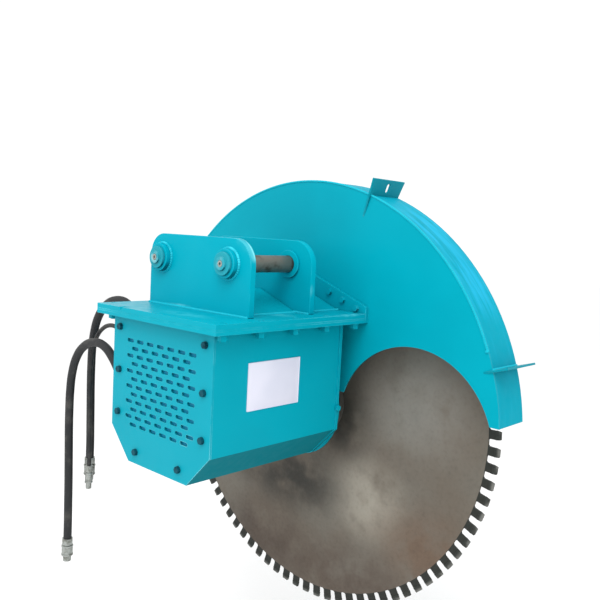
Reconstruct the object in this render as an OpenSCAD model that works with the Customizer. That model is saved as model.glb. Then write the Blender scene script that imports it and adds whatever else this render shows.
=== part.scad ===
// Hydraulic concrete saw that hangs from an excavator's bucket pins.
// X runs along the blade, Y along its spindle towards the blade, Z up.
// The solids are laid out about the blade's centre and then moved as one,
// so that the origin is the middle of the stick pin, between the two ears.

/* [Blade] */
// Cutting diameter over the segments
blade_d = 1400; // [1340:10:1440]
// Thickness of the steel core
core_t = 7; // [5:0.5:9]
// Number of segments round the rim
segment_count = 86; // [76:1:90]
// Length of one segment along the rim
segment_l = 28; // [24:1:34]
// Height of one segment above its land
segment_h = 16; // [8:1:18]
// Thickness of one segment
segment_t = 9; // [8:0.5:12]
// Length of the land that carries a segment
land_l = 26; // [20:1:32]
// Depth of a gullet below the lands
gullet_depth = 22; // [10:1:26]
// Bevel in the two bottom corners of a gullet
gullet_bevel = 4; // [2:0.5:6]

/* [Blade flanges and nut] */
// Diameter of the two clamping flanges
flange_d = 250; // [200:5:300]
// Thickness of the inner flange
inner_flange_t = 20; // [14:1:26]
// Thickness of the outer flange
outer_flange_t = 16; // [12:1:18]
// Diameter of the inner flange's hub
flange_hub_d = 96; // [84:1:120]
// Diameter of the circle of drive pins
drive_circle_d = 150; // [120:5:180]
// Diameter of one drive pin
drive_pin_d = 16; // [10:1:20]
// Number of drive pins
drive_pin_count = 4; // [2:1:6]
// Width of the spindle nut across its flats
nut_flats = 75; // [65:1:90]
// Height of the spindle nut
nut_h = 18; // [14:1:19]

/* [Guard] */
// Clearance between the segments and the guard's rim
rim_gap = 34; // [20:1:60]
// Thickness of the guard's plates and rim
guard_t = 6; // [4:0.5:8]
// Outside width of the guard on the motor side of the blade
guard_front = 92; // [84:1:100]
// Outside width of the guard on the far side of the blade
guard_back = 48; // [44:1:70]
// Height of the guard's lower edge above the spindle
guard_floor = 68; // [40:1:90]
// Radius of the guard's hub, round the spindle
guard_hub_r = 174; // [166:1:178]
// Width of the guard's hub round its bore
guard_hub_w = 70; // [64:1:76]
// Band of plate left between an arch and the rim
arch_band = 16; // [10:1:30]
// Depth of the arch centres below the spindle
arch_drop = 25; // [0:1:60]
// Radius of the nut opening in the far plate
nut_arch_r = 150; // [130:1:200]

/* [Guard tabs] */
// Height of a tab above the rim
tab_h = 53; // [40:1:70]
// Thickness of a tab
tab_t = 6; // [4:0.5:10]
// Reach of a tab's outer corner in front of the guard
tab_front = 15; // [4:1:30]
// Reach of a tab's outer corner behind the guard
tab_back = 7; // [2:1:20]
// Length of the upper tab's fin down the guard
upper_fin_l = 72; // [40:1:90]
// Length of the lower tab's fin down the guard
lower_fin_l = 30; // [20:1:90]
// Width of the slot in a tab
tab_slot_w = 16; // [10:1:24]
// Length of the slot in a tab
tab_slot_l = 30; // [26:1:36]
// Angle of the upper tab above the horizontal
upper_tab_angle = 70; // [60:1:80]
// Angle of the lower tab above the horizontal
lower_tab_angle = 17.5; // [15:0.5:30]

/* [Motor housing] */
// Width over the housing's side plates
housing_w = 454; // [420:2:480]
// How far each side turns in towards the flat bottom
turn_in = 91; // [80:1:100]
// Height of the base plates above the spindle
housing_top = 301; // [290:1:330]
// Depth at which the sides turn in, below the spindle
bend_drop = 32; // [20:1:50]
// Depth of the housing's bottom below the spindle
floor_drop = 126; // [120:1:150]
// Distance from the blade to the grille's face
grille_y = 673; // [650:1:700]
// Distance from the blade to the housing's end face
end_y = 160; // [145:1:162]
// Thickness of the housing's plates
wall_t = 8; // [5:0.5:10]
// Thickness of the end plate that carries the spindle
end_plate_t = 12; // [10:1:20]
// Lip of the end plate beyond the side plates
end_lip = 3; // [1:1:10]

/* [Grille] */
// Thickness of the grille cover
cover_t = 6; // [4:0.5:8]
// Length of one slot
slot_l = 32; // [20:1:36]
// Width of one slot
slot_w = 10.5; // [6:0.5:12]
// Distance from the cover's side edge to the middle of the first slot
slot_edge = 84.5; // [75:0.5:95]
// Distance between rows
row_pitch = 22.4; // [18:0.1:23]
// Number of rows, long and short in turn
row_count = 12; // [6:1:13]
// Number of slots in a long row
long_row = 7; // [3:1:7]
// Height of the top row above the spindle
top_row = 232; // [200:1:240]
// Distance of the cover's side bolts from its side edge
cover_bolt_edge = 33; // [29:1:42]
// Height of the cover's top bolts above the spindle
cover_bolt_top = 266; // [250:1:272]
// Step down from one side bolt to the next
cover_bolt_step = 127; // [110:1:132]
// Distance of the two bottom bolts from the flat bottom's edges
floor_bolt_edge = 36; // [26:1:56]
// Depth of the two bottom bolts below the spindle
floor_bolt_drop = 91; // [85:1:95]

/* [Base plates] */
// Reach of the base plates beyond the housing's sides
side_reach = 43; // [40:1:60]
// Reach of the base plates beyond the grille
end_reach = 34; // [22:1:57]
// Thickness of the bracket's base plate
base_t = 14; // [10:1:20]
// Thickness of the spacer plate
spacer_t = 5; // [3:0.5:8]
// Thickness of the housing's flange bars
bar_t = 10; // [8:1:16]
// Side of the small notch in the base plate's outer edge
notch_w = 20; // [10:1:24]
// Sideways place of the notch
notch_x = 148; // [120:1:170]
// Number of studs along each side
stud_count = 5; // [3:1:7]
// Distance from the blade to the nearest stud
stud_near = 130; // [126:1:150]
// Distance from the blade to the farthest stud
stud_far = 664; // [640:1:680]
// Distance of the studs from the plates' side edges
stud_edge = 21; // [18:1:24]

/* [Ears and pins] */
// Diameter of the stick pin and the link pin
pin_d = 50; // [45:1:60]
// Height of the pins above the spindle
pin_z = 473; // [460:1:480]
// Sideways place of the stick pin, left of the spindle
stick_pin_x = 180; // [170:1:184]
// Sideways place of the link pin, right of the spindle
link_pin_x = 120; // [100:1:130]
// Free width between the two ears
ear_gap = 224; // [200:1:230]
// Thickness of one ear
ear_t = 20; // [16:1:25]
// Distance from the blade to the middle of the ears
ear_mid_y = 409; // [400:1:415]
// Plate left of the stick pin
ear_left_reach = 60; // [50:1:70]
// Plate right of the link pin
ear_right_reach = 91; // [80:1:110]
// Plate above the two pins
ear_top_reach = 72; // [60:1:87]
// Corner radius on the stick pin's side
ear_left_r = 60; // [40:1:70]
// Corner radius on the link pin's side
ear_right_r = 74; // [60:1:95]
// Diameter of a pin boss
boss_d = 84; // [78:1:94]
// Length of an outer boss
outer_boss_l = 18; // [12:1:24]
// Length of an inner boss
inner_boss_l = 8; // [4:1:12]
// Diameter of a pin cap
cap_d = 66; // [60:1:72]
// Thickness of a pin cap
cap_t = 8; // [6:0.5:12]
// Diameter of the raised middle of a cap
cap_hub_d = 38; // [30:1:44]
// Height of the raised middle of a cap
cap_hub_h = 6; // [5:0.5:8]

/* [Gable deck and guard flange] */
// Half width of the gable at its foot
gable_foot = 160; // [140:1:180]
// Rise of the gable above the base plate
gable_rise = 60; // [50:1:64]
// Thickness of the gable's plate
gable_t = 8; // [6:0.5:12]
// Thickness of the flange that the guard bolts to
guard_flange_t = 12; // [8:1:14]
// Reach of the guard flange beyond the base plates' sides
guard_flange_reach = 1; // [1:1:20]
// Height of the guard flange above the gable
guard_flange_h = 62; // [60:1:70]
// Distance of the outermost guard bolt from the flange's side edge
guard_bolt_edge = 38; // [38:1:60]
// Step from one guard bolt to the next
guard_bolt_step = 56; // [50:1:60]
// Number of guard bolts each side
guard_bolt_count = 3; // [2:1:3]
// Distance of the guard bolts below the flange's sloping edge
guard_bolt_drop = 21; // [18:1:24]

/* [Spindle and bearings] */
// Diameter of the spindle at its bearings and blade
spindle_d = 60; // [55:1:64]
// Diameter of the spindle's thread
thread_d = 48; // [42:1:52]
// Diameter of the spindle's driven end and the motor shaft
drive_d = 46; // [40:1:50]
// Outside diameter of a bearing
bearing_d = 110; // [106:1:120]
// Width of a bearing
bearing_w = 22; // [20:1:26]
// Number of balls in a bearing
ball_count = 10; // [8:1:11]
// Distance between the two bearings
bearing_span = 104; // [90:1:110]
// Wall of the bearing cartridge round a bearing
cartridge_wall = 20; // [18:1:22]
// Width of the cartridge's flange outside its body
cartridge_flange_w = 35; // [32:1:40]
// Thickness of the cartridge's flange
cartridge_flange_t = 15; // [12:1:20]
// Reach of the cartridge's nose beyond the end plate
nose_l = 12; // [8:1:14]
// Depth from the cartridge's nose to its near bearing
nose_depth = 30; // [26:1:34]
// Thickness of a bearing cover
bearing_cover_t = 8; // [6:1:10]

/* [Motor] */
// Diameter of the motor's body
motor_d = 140; // [120:1:142]
// Length of the motor's body
motor_l = 118; // [100:1:120]
// Diameter of the motor's flange
motor_flange_d = 196; // [186:1:200]
// Thickness of the motor's flange
motor_flange_t = 16; // [12:1:20]
// Diameter of the motor's spigot
motor_spigot_d = 127; // [110:1:130]
// Thickness of the plate that carries the motor
motor_plate_t = 15; // [12:1:18]
// Diameter of the sleeve that joins motor and spindle
sleeve_d = 84; // [76:1:96]
// Length of the sleeve
sleeve_l = 110; // [90:1:112]

/* [Hoses] */
// Diameter of the pressure and return hoses
hose_d = 28; // [24:1:32]
// Diameter of the drain hose
drain_hose_d = 14; // [10:1:16]
// Length of a quick coupler
coupler_l = 80; // [60:1:90]
// Diameter of a quick coupler
coupler_d = 40; // [36:1:44]

/* [Hidden] */
$fn = 96;
overrun = 1;             // how far a cut runs past a face
fit_gap = 0.05;          // running clearance of a pin or shaft in its bore
bolt_gap = 0.4;          // clearance of a bolt in its hole
seat_gap = 0.3;          // clearance between curved pieces that don't fit
hex_ratio = 1 / cos(30); // a hexagon's corner width over its flats

// Bolts: shank radius, width across flats, head height, washer radius, washer thickness
m16 = [8, 24, 10, 15, 3];
m12 = [6, 19, 8, 12, 2.5];
m10 = [5, 17, 7, 10, 2];
m8 = [4, 13, 5.5, 8, 1.6];
socket_flats = 8;        // key width of a cap screw
socket_depth = 4;
cap_screw_head_r = 9;
cap_screw_head_h = 5;
cap_screw_l = 30;
stud_tip = 2;            // thread that shows under a stud's nut
stud_nut_h = 14;
guard_nut_h = 8.4;

// Radii and edges of the blade and guard
blade_r = blade_d / 2;
land_r = blade_r - segment_h;
root_r = land_r - gullet_depth;
pitch_angle = 360 / segment_count;
guard_r = blade_r + rim_gap + guard_t;
arch_r = (guard_r - arch_band - guard_hub_r) / 2;
arch_x = guard_hub_r + arch_r;
guard_bore_r = guard_hub_r - guard_hub_w;
hub_ring_inset = 8;      // the hub ring stands back from the guard's bore
hub_ring_lip = 24;       // and from the edge of its hub
hub_ring_in = guard_bore_r + hub_ring_inset;
hub_ring_out = guard_hub_r - hub_ring_lip;
hub_bolt_r = (hub_ring_in + hub_ring_out) / 2;
hub_bolt_count = 6;

// Places and sizes that follow from the housing and the pins
housing_floor_w = housing_w - 2 * turn_in;
base_w = housing_w + 2 * side_reach;
base_y = grille_y + end_reach;
guard_flange_w = base_w / 2 + guard_flange_reach;
stud_x = base_w / 2 - stud_edge;
cover_bolt_x = housing_w / 2 - cover_bolt_edge;
floor_bolt_x = housing_floor_w / 2 - floor_bolt_edge;
slot_pitch = (housing_w - 2 * slot_edge) / (long_row - 1);
ear_left = stick_pin_x + ear_left_reach;
ear_right = link_pin_x + ear_right_reach;
ear_top = pin_z + ear_top_reach;

// Heights of the stack of base plates
spacer_z = housing_top + bar_t;
base_z = spacer_z + spacer_t;
deck_z = base_z + base_t;
flange_y = guard_front + guard_flange_t;
bar_in = housing_w / 2 - wall_t;
flange_bar_w = 46;       // width of the bar across the housing's grille end

// Outline of the housing, down its right side from the top
half_outline = [
    [housing_w / 2, housing_top],
    [housing_w / 2, -bend_drop],
    [housing_floor_w / 2, -floor_drop]
];
bend_run = [
    (housing_w - housing_floor_w) / 2,
    floor_drop - bend_drop
];
bend_len = norm(bend_run);
bend_side_share = (bend_len - bend_run[1]) / bend_run[0];
bend_floor_share = (bend_len - bend_run[0]) / bend_run[1];
inner_outline = [
    [housing_w / 2 - wall_t, housing_top],
    [housing_w / 2 - wall_t, -bend_drop + wall_t * bend_side_share],
    [housing_floor_w / 2 - wall_t * bend_floor_share, -floor_drop + wall_t]
];
cover_in = grille_y - cover_t;
end_in = end_y + end_plate_t;

// Pads that the grille's bolts screw into
pad_w = 30;
pad_l = 20;
cover_bolts = concat(
    [for (side = [-1, 1], i = [0:2])
        [side * cover_bolt_x, cover_bolt_top - i * cover_bolt_step]],
    [for (side = [-1, 1]) [side * floor_bolt_x, -floor_bolt_drop]]
);
side_screw_z = 35;       // height of the screws in the end plate's edges
side_screw_l = 20;

// Places along the spindle, as distances from the blade towards the motor
nose_end = end_y - nose_l;
near_bearing = nose_end + nose_depth;
far_bearing = near_bearing + bearing_w + bearing_span - bearing_w;
cartridge_end = far_bearing + bearing_w + 2 * bearing_cover_t;
spindle_shoulder = nose_end - bearing_cover_t - overrun;
shoulder_l = 16;
hub_end = spindle_shoulder - shoulder_l;
driven_end_l = 70;       // spindle beyond the cartridge
spindle_end = cartridge_end + driven_end_l;
spindle_tip = core_t / 2 + outer_flange_t + nut_h + overrun;
thread_start = core_t / 2 + outer_flange_t - 3 * overrun;
waist_step = 5;          // the spindle between its bearings is thicker by this
spindle_waist_d = spindle_d + 2 * waist_step;
cartridge_d = bearing_d + 2 * cartridge_wall;
cartridge_flange_d = cartridge_d + 2 * cartridge_flange_w;
cartridge_bolt_step = 19; // from the cartridge's body to its bolts
cartridge_bolt_r = cartridge_d / 2 + cartridge_bolt_step;
cartridge_bolt_count = 8;
cover_screw_count = 6;
cover_screw_l = 24;
cover_screw_r = (cartridge_d + bearing_d) / 4;
seal_t = 8;              // width of an oil seal
ball_share = 0.32;       // ball over the difference of bore and bearing
ring_share = 0.16;       // wall of a bearing ring over the same
ball_d = (bearing_d - spindle_d) * ball_share;
ring_t = (bearing_d - spindle_d) * ring_share;
ball_circle_r = (spindle_d + bearing_d) / 4;
sleeve_room = 48;        // free shaft before the motor's plate
motor_plate_y = cartridge_end + sleeve_l + sleeve_room;
motor_face = motor_plate_y + motor_plate_t;
motor_back = motor_face + motor_flange_t + motor_l;
motor_cap_l = 8;
shaft_gap = 4;           // gap between the two shaft ends in the sleeve
sleeve_start = spindle_end - sleeve_l / 2;
motor_bolt_r = 84;
motor_bolt_count = 4;
motor_screw_l = 36;

// Ports, hose fittings and lines
port_back = 61;          // from the grille's face to the first hose port
port_y = grille_y - port_back;
port_step = 40;          // from one port to the next
port_z = [80, 150, 215];
port_r = [10, 5, 10];    // bore of each line
line_r = [12, 7, 12];
block_w = 40;
block_x = motor_d / 2 + block_w;
fitting_l = 34;
elbow_l = 44;
elbow_r = [17, 11, 17];
hose_r = [hose_d / 2, drain_hose_d / 2, hose_d / 2];
port_ys = [for (i = [0:2]) -port_y + i * port_step];
elbow_x = -housing_w / 2 - fitting_l;
elbow_share = sqrt(1 / 2); // cosine and sine of the elbow's 45 degrees
elbow_body_share = 0.85; // ball of the elbow over its hexagon's inner radius
ferrule_l = 22;          // crimped sleeve at a hose's end
hose_start = [for (i = [0:2]) [
    elbow_x - elbow_l * elbow_share,
    port_ys[i],
    port_z[i] + elbow_l * elbow_share
]];

// Routes of the hoses, from their fittings down to their couplers
pressure_route = [
    [0, 0, 0], [-34, 0, 34], [-84, 0, 64], [-145, 0, 68], [-205, 0, 46],
    [-250, 0, 2], [-275, 0, -55], [-285, 0, -115], [-288, 0, -180],
    [-288, 0, -245], [-286, 0, -310], [-284, 0, -375], [-282, 0, -440],
    [-281, 0, -505], [-280, 0, -570], [-280, 0, -635]
];
drain_route = [
    [0, 0, 0], [-29, 0, 29], [-70, 0, 51], [-115, 0, 55], [-160, 0, 38],
    [-195, 0, 4], [-215, 0, -40], [-224, 0, -90], [-228, 0, -140],
    [-228, 0, -190], [-226, 0, -240], [-224, 0, -290], [-222, 0, -340],
    [-220, 0, -390], [-220, 0, -440]
];
return_route = [
    [0, 0, 0], [-34, 0, 34], [-84, 0, 64], [-145, 0, 68], [-205, 0, 46],
    [-250, 0, 2], [-275, 0, -55], [-285, 0, -115], [-288, 0, -180],
    [-288, 0, -245], [-286, 0, -310], [-284, 0, -375], [-282, 0, -440],
    [-282, 0, -500]
];
routes = [pressure_route, drain_route, return_route];
coupler_rs = [coupler_d / 2, coupler_d / 3, coupler_d / 2];
coupler_nose_rs = [14, 9.5, 14];
coupler_nose_l = 20;

turquoise = "darkturquoise";
steel = "silver";
dark_steel = "dimgray";

// Moves everything from the blade's centre to the stick pin's
module placed() {
    translate([stick_pin_x, ear_mid_y, -pin_z]) children();
}

// Extrudes an outline in X and Z from one distance before the blade to a nearer one
module between(far_y, near_y) {
    translate([0, -near_y, 0])
        rotate([90, 0, 0])
            linear_extrude(far_y - near_y) children();
}

// A round bar along Y, between two distances before the blade
module bar_y(r, far_y, near_y) {
    translate([0, -near_y, 0])
        rotate([90, 0, 0]) cylinder(r = r, h = far_y - near_y);
}

// A turned piece about the spindle, from points of radius and distance before the blade
module turned(points) {
    rotate([90, 0, 0]) rotate_extrude() polygon(points);
}

// Puts copies on a circle about the spindle
module round_spindle(count, r, start = 0) {
    for (i = [0:count - 1])
        rotate([0, start + i * 360 / count, 0]) translate([r, 0, 0]) children();
}

// A hexagon bolt that points along +Z, with the head's underside at zero
module hex_bolt(size, shank_l) {
    cylinder(r = size[0], h = shank_l);
    translate([0, 0, -size[4]]) cylinder(r = size[3], h = size[4]);
    translate([0, 0, -size[4] - size[2]])
        cylinder(d = size[1] * hex_ratio, h = size[2], $fn = 6);
}

// The bracket's base plate, with its stud holes and the notch in its outer edge
module base_plate() {
    color(turquoise) difference() {
        translate([-base_w / 2, -base_y, base_z])
            cube([base_w, base_y - flange_y, base_t]);
        stud_holes(base_z, base_t);
        translate([-notch_x, -base_y - overrun, deck_z])
            rotate([-90, 0, 0])
                linear_extrude(notch_w + overrun)
                    polygon([
                        [-notch_w / 2, -overrun],
                        [notch_w / 2, -overrun],
                        [0, notch_w / 2]
                    ]);
    }
}

module at_studs() {
    for (side = [-1, 1], i = [0:stud_count - 1])
        translate([
            side * stud_x,
            -stud_far + i * (stud_far - stud_near) / (stud_count - 1),
            0
        ]) children();
}

module stud_holes(z, t) {
    at_studs() translate([0, 0, z - overrun])
        cylinder(r = m16[0] + bolt_gap, h = t + 2 * overrun);
}

// Ears

module ear_outline() {
    height = ear_top - deck_z;
    width = ear_left + ear_right;
    difference() {
        union() {
            translate([-ear_left, deck_z]) square([ear_left_r, height - ear_left_r]);
            translate([ear_right - ear_right_r, deck_z])
                square([ear_right_r, height - ear_right_r]);
            translate([-ear_left + ear_left_r, deck_z])
                square([width - ear_left_r - ear_right_r, height]);
            translate([-ear_left + ear_left_r, ear_top - ear_left_r])
                circle(ear_left_r);
            translate([ear_right - ear_right_r, ear_top - ear_right_r])
                circle(ear_right_r);
        }
        at_pins_2d() circle(pin_d / 2 + fit_gap);
    }
}

module at_pins_2d() {
    translate([-stick_pin_x, pin_z]) children();
    translate([link_pin_x, pin_z]) children();
}

module at_pins() {
    translate([-stick_pin_x, 0, pin_z]) children();
    translate([link_pin_x, 0, pin_z]) children();
}

ear_in_far = ear_mid_y + ear_gap / 2;
ear_in_near = ear_mid_y - ear_gap / 2;

module front_ear() {
    color(turquoise) between(ear_in_far + ear_t, ear_in_far) ear_outline();
}

module rear_ear() {
    color(turquoise) between(ear_in_near, ear_in_near - ear_t) ear_outline();
}

// A boss ring on each side of each ear, round each pin
module pin_bosses() {
    color(turquoise) at_pins() {
        boss(ear_in_far + ear_t + outer_boss_l, ear_in_far + ear_t);
        boss(ear_in_far, ear_in_far - inner_boss_l);
        boss(ear_in_near + inner_boss_l, ear_in_near);
        boss(ear_in_near - ear_t, ear_in_near - ear_t - outer_boss_l);
    }
}

module boss(far_y, near_y) {
    between(far_y, near_y) difference() {
        circle(boss_d / 2);
        circle(pin_d / 2 + fit_gap);
    }
}

pin_far = ear_in_far + ear_t + outer_boss_l;
pin_near = ear_in_near - ear_t - outer_boss_l;

module ear_pin() {
    difference() {
        bar_y(pin_d / 2, pin_far, pin_near);
        bar_y(m12[0], pin_far + overrun, pin_far - cap_screw_l);
        bar_y(m12[0], pin_near + cap_screw_l, pin_near - overrun);
    }
}

module stick_pin() {
    color(steel) translate([-stick_pin_x, 0, pin_z]) ear_pin();
}

module link_pin() {
    color(steel) translate([link_pin_x, 0, pin_z]) ear_pin();
}

// Places a piece at each pin's two ends, with +Z pointing out of the pin
module at_pin_ends() {
    at_pins() {
        translate([0, -pin_far, 0]) rotate([90, 0, 0]) children();
        translate([0, -pin_near, 0]) rotate([-90, 0, 0]) children();
    }
}

module pin_caps() {
    color(turquoise) at_pin_ends() difference() {
        union() {
            cylinder(d = cap_d, h = cap_t);
            cylinder(d = cap_hub_d, h = cap_t + cap_hub_h);
        }
        translate([0, 0, -overrun])
            cylinder(r = m12[0] + bolt_gap, h = cap_t + cap_hub_h + 2 * overrun);
        translate([0, 0, cap_t + cap_hub_h - cap_screw_head_h])
            cylinder(r = cap_screw_head_r + bolt_gap, h = cap_screw_head_h + overrun);
    }
}

module pin_cap_screws() {
    color(dark_steel) at_pin_ends() difference() {
        union() {
            translate([0, 0, -cap_screw_l + overrun])
                cylinder(
                    r = m12[0] - fit_gap,
                    h = cap_screw_l + cap_t + cap_hub_h - cap_screw_head_h - overrun
                );
            translate([0, 0, cap_t + cap_hub_h - cap_screw_head_h])
                cylinder(r = cap_screw_head_r, h = cap_screw_head_h);
        }
        translate([0, 0, cap_t + cap_hub_h - socket_depth])
            cylinder(d = socket_flats * hex_ratio, h = socket_depth + overrun, $fn = 6);
    }
}

// The raised gable between and behind the ears, as bent plate
gable_slope = gable_rise / gable_foot;
gable_drop = gable_t * sqrt(1 + gable_slope * gable_slope);

module gable_outline() {
    foot_in = gable_foot - gable_drop / gable_slope;
    polygon([
        [-gable_foot, deck_z], [0, deck_z + gable_rise], [gable_foot, deck_z],
        [foot_in, deck_z], [0, deck_z + gable_rise - gable_drop], [-foot_in, deck_z]
    ]);
}

module front_deck() {
    color(turquoise) between(ear_in_far, ear_in_near) gable_outline();
}

module rear_deck() {
    color(turquoise) between(ear_in_near - ear_t, flange_y) gable_outline();
}

// The flange that the guard bolts to follows the gable
flange_peak = deck_z + gable_rise + guard_flange_h;

function flange_edge(x) = flange_peak - gable_slope * abs(x);

guard_bolt_xs = [
    for (side = [-1, 1], i = [0:guard_bolt_count - 1])
        side * (guard_flange_w - guard_bolt_edge - i * guard_bolt_step)
];

module at_guard_bolts() {
    for (x = guard_bolt_xs)
        translate([x, 0, flange_edge(x) - guard_bolt_drop]) children();
}

module guard_flange() {
    color(turquoise) difference() {
        between(flange_y, guard_front) polygon([
            [-guard_flange_w, housing_top],
            [-guard_flange_w, flange_edge(guard_flange_w)],
            [0, flange_peak],
            [guard_flange_w, flange_edge(guard_flange_w)],
            [guard_flange_w, housing_top]
        ]);
        at_guard_bolts()
            bar_y(m10[0] + bolt_gap, flange_y + overrun, guard_front - overrun);
    }
}

// Bolts through the flange, and screws through the guard's hub into the end plate
module guard_bolts() {
    color(steel) {
        at_guard_bolts()
            translate([0, -flange_y, 0])
                rotate([-90, 0, 0])
                    hex_bolt(m10, guard_flange_t + guard_t + guard_nut_h + m10[4]);
        round_spindle(hub_bolt_count, hub_bolt_r)
            translate([0, guard_t - guard_front, 0])
                rotate([90, 0, 0])
                    hex_bolt(m10, end_in - guard_front + guard_t - overrun);
    }
}

module guard_nuts() {
    color(steel) at_guard_bolts()
        translate([0, -guard_front + guard_t, 0])
            rotate([-90, 0, 0]) difference() {
                cylinder(d = m10[1] * hex_ratio, h = guard_nut_h, $fn = 6);
                translate([0, 0, -overrun])
                    cylinder(r = m10[0] + fit_gap, h = guard_nut_h + 2 * overrun);
            }
}

// Plates and bars between the bracket and the housing
module spacer_plate() {
    color(turquoise) difference() {
        translate([-base_w / 2, -base_y, spacer_z])
            cube([base_w, base_y - flange_y, spacer_t]);
        stud_holes(spacer_z, spacer_t);
    }
}

module housing_flange_bars() {
    side_w = base_w / 2 - bar_in;
    color(turquoise) difference() {
        union() {
            for (side = [-1, 1])
                translate([side * (bar_in + side_w / 2), -(base_y + flange_y) / 2,
                    housing_top + bar_t / 2])
                    cube([side_w, base_y - flange_y, bar_t], center = true);
            translate([-bar_in, -base_y, housing_top])
                cube([2 * bar_in, flange_bar_w, bar_t]);
            translate([-bar_in, -end_in, housing_top])
                cube([2 * bar_in, end_in - flange_y, bar_t]);
        }
        stud_holes(housing_top, bar_t);
    }
}

module flange_studs() {
    color(steel) at_studs()
        translate([0, 0, housing_top - m16[4] - stud_nut_h - stud_tip])
            cylinder(
                r = m16[0],
                h = deck_z - overrun - housing_top + m16[4] + stud_nut_h + stud_tip
            );
}

module flange_nuts() {
    color(steel) at_studs()
        translate([0, 0, housing_top - m16[4] - stud_nut_h]) difference() {
            union() {
                cylinder(d = m16[1] * hex_ratio, h = stud_nut_h, $fn = 6);
                translate([0, 0, stud_nut_h]) cylinder(r = m16[3], h = m16[4]);
            }
            translate([0, 0, -overrun])
                cylinder(r = m16[0] + fit_gap, h = stud_nut_h + m16[4] + 2 * overrun);
        }
}

// Welded housing: two bent sides, a bottom and the end plate
module side_plate() {
    between(cover_in, end_in) polygon([
        half_outline[0], half_outline[1], half_outline[2],
        inner_outline[2], inner_outline[1], inner_outline[0]
    ]);
}

module housing_right_side() {
    color(turquoise) side_plate();
}

module housing_left_side() {
    color(turquoise) difference() {
        mirror([1, 0, 0]) side_plate();
        for (i = [0:2])
            translate([-housing_w / 2 - overrun, port_ys[i], port_z[i]])
                rotate([0, 90, 0])
                    cylinder(r = line_r[i] + seat_gap, h = wall_t + 2 * overrun);
    }
}

module housing_bottom() {
    color(turquoise) between(cover_in, end_in) polygon([
        half_outline[2], [-half_outline[2][0], half_outline[2][1]],
        [-inner_outline[2][0], inner_outline[2][1]], inner_outline[2]
    ]);
}

function lipped(point, lip) = [
    point[0] + lip,
    point[1] - (point[1] < 0 ? lip * bend_side_share : 0)
];

module housing_end_plate() {
    right = [for (point = half_outline) lipped(point, end_lip)];
    color(turquoise) difference() {
        between(end_in, end_y) polygon(concat(
            right,
            [for (i = [len(right) - 1:-1:0]) [-right[i][0], right[i][1]]]
        ));
        bar_y(cartridge_d / 2 + fit_gap, end_in + overrun, end_y - overrun);
        round_spindle(cartridge_bolt_count, cartridge_bolt_r)
            bar_y(m12[0] + bolt_gap, end_in + overrun, end_y - overrun);
        round_spindle(hub_bolt_count, hub_bolt_r)
            bar_y(m10[0] + fit_gap, end_in + overrun, end_y - overrun);
        end_screw_places()
            translate([0, 0, -side_screw_l])
                cylinder(r = m10[0] + fit_gap, h = side_screw_l + overrun);
    }
}

// Screws in the end plate's two long edges, with +Z pointing out of the edge
module end_screw_places() {
    for (side = [-1, 1])
        translate([
            side * (housing_w / 2 + end_lip),
            -(end_in + end_y) / 2,
            side_screw_z
        ]) rotate([0, side * 90, 0]) children();
}

module end_plate_screws() {
    color(steel) end_screw_places() {
        translate([0, 0, -side_screw_l + overrun])
            cylinder(r = m10[0], h = side_screw_l - overrun);
        cylinder(d = m10[1] * hex_ratio, h = m10[2], $fn = 6);
    }
}

// Grille
module slot_outline() {
    span = (slot_l - slot_w) / 2;
    translate([-span, 0]) circle(slot_w / 2);
    translate([span, 0]) circle(slot_w / 2);
    translate([-span, -slot_w / 2]) square([2 * span, slot_w]);
}

module grille_cover() {
    color(turquoise) between(grille_y, cover_in) difference() {
        polygon(concat(
            half_outline,
            [for (i = [2:-1:0]) [-half_outline[i][0], half_outline[i][1]]]
        ));
        for (row = [0:row_count - 1])
            let (count = long_row - row % 2)
                for (i = [0:count - 1])
                    translate([
                        (i - (count - 1) / 2) * slot_pitch,
                        top_row - row * row_pitch
                    ]) slot_outline();
        for (place = cover_bolts)
            translate(place) circle(m10[0] + bolt_gap);
    }
}

module grille_pads() {
    side_in = housing_w / 2 - wall_t;
    color(turquoise) between(cover_in, cover_in - pad_l) difference() {
        union() {
            for (side = [-1, 1], i = [0:2])
                translate([
                    side < 0 ? -side_in : cover_bolt_x - pad_w / 2,
                    cover_bolt_top - i * cover_bolt_step - pad_w / 2
                ]) square([side_in - cover_bolt_x + pad_w / 2, pad_w]);
            for (side = [-1, 1])
                translate([side * floor_bolt_x - pad_w / 2, -floor_drop + wall_t])
                    square([pad_w, floor_drop - wall_t - floor_bolt_drop + pad_w / 2]);
        }
        for (place = cover_bolts)
            translate(place) circle(m10[0] + fit_gap);
    }
}

module grille_bolts() {
    color(dark_steel)
        for (place = cover_bolts)
            translate([place[0], -grille_y, place[1]])
                rotate([-90, 0, 0]) hex_bolt(m10, cover_t + pad_l - 2 * overrun);
}

// Guard

module guard_half(r) {
    intersection() {
        circle(r);
        translate([-r - overrun, guard_floor]) square([2 * (r + overrun), r + overrun]);
    }
}

module guard_front_plate() {
    color(turquoise) between(guard_front, guard_front - guard_t) difference() {
        union() {
            guard_half(guard_r);
            circle(guard_hub_r);
        }
        for (side = [-1, 1])
            translate([side * arch_x, -arch_drop]) circle(arch_r);
        circle(guard_bore_r);
        for (x = guard_bolt_xs)
            translate([x, flange_edge(x) - guard_bolt_drop]) circle(m10[0] + bolt_gap);
        at_hub_bolts_2d() circle(m10[0] + bolt_gap);
    }
}

module guard_rear_plate() {
    color(turquoise) between(-guard_back + guard_t, -guard_back) difference() {
        guard_half(guard_r);
        circle(nut_arch_r);
    }
}

module guard_rim() {
    color(turquoise) between(guard_front - guard_t, guard_t - guard_back) difference() {
        guard_half(guard_r);
        circle(guard_r - guard_t);
    }
}

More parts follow.
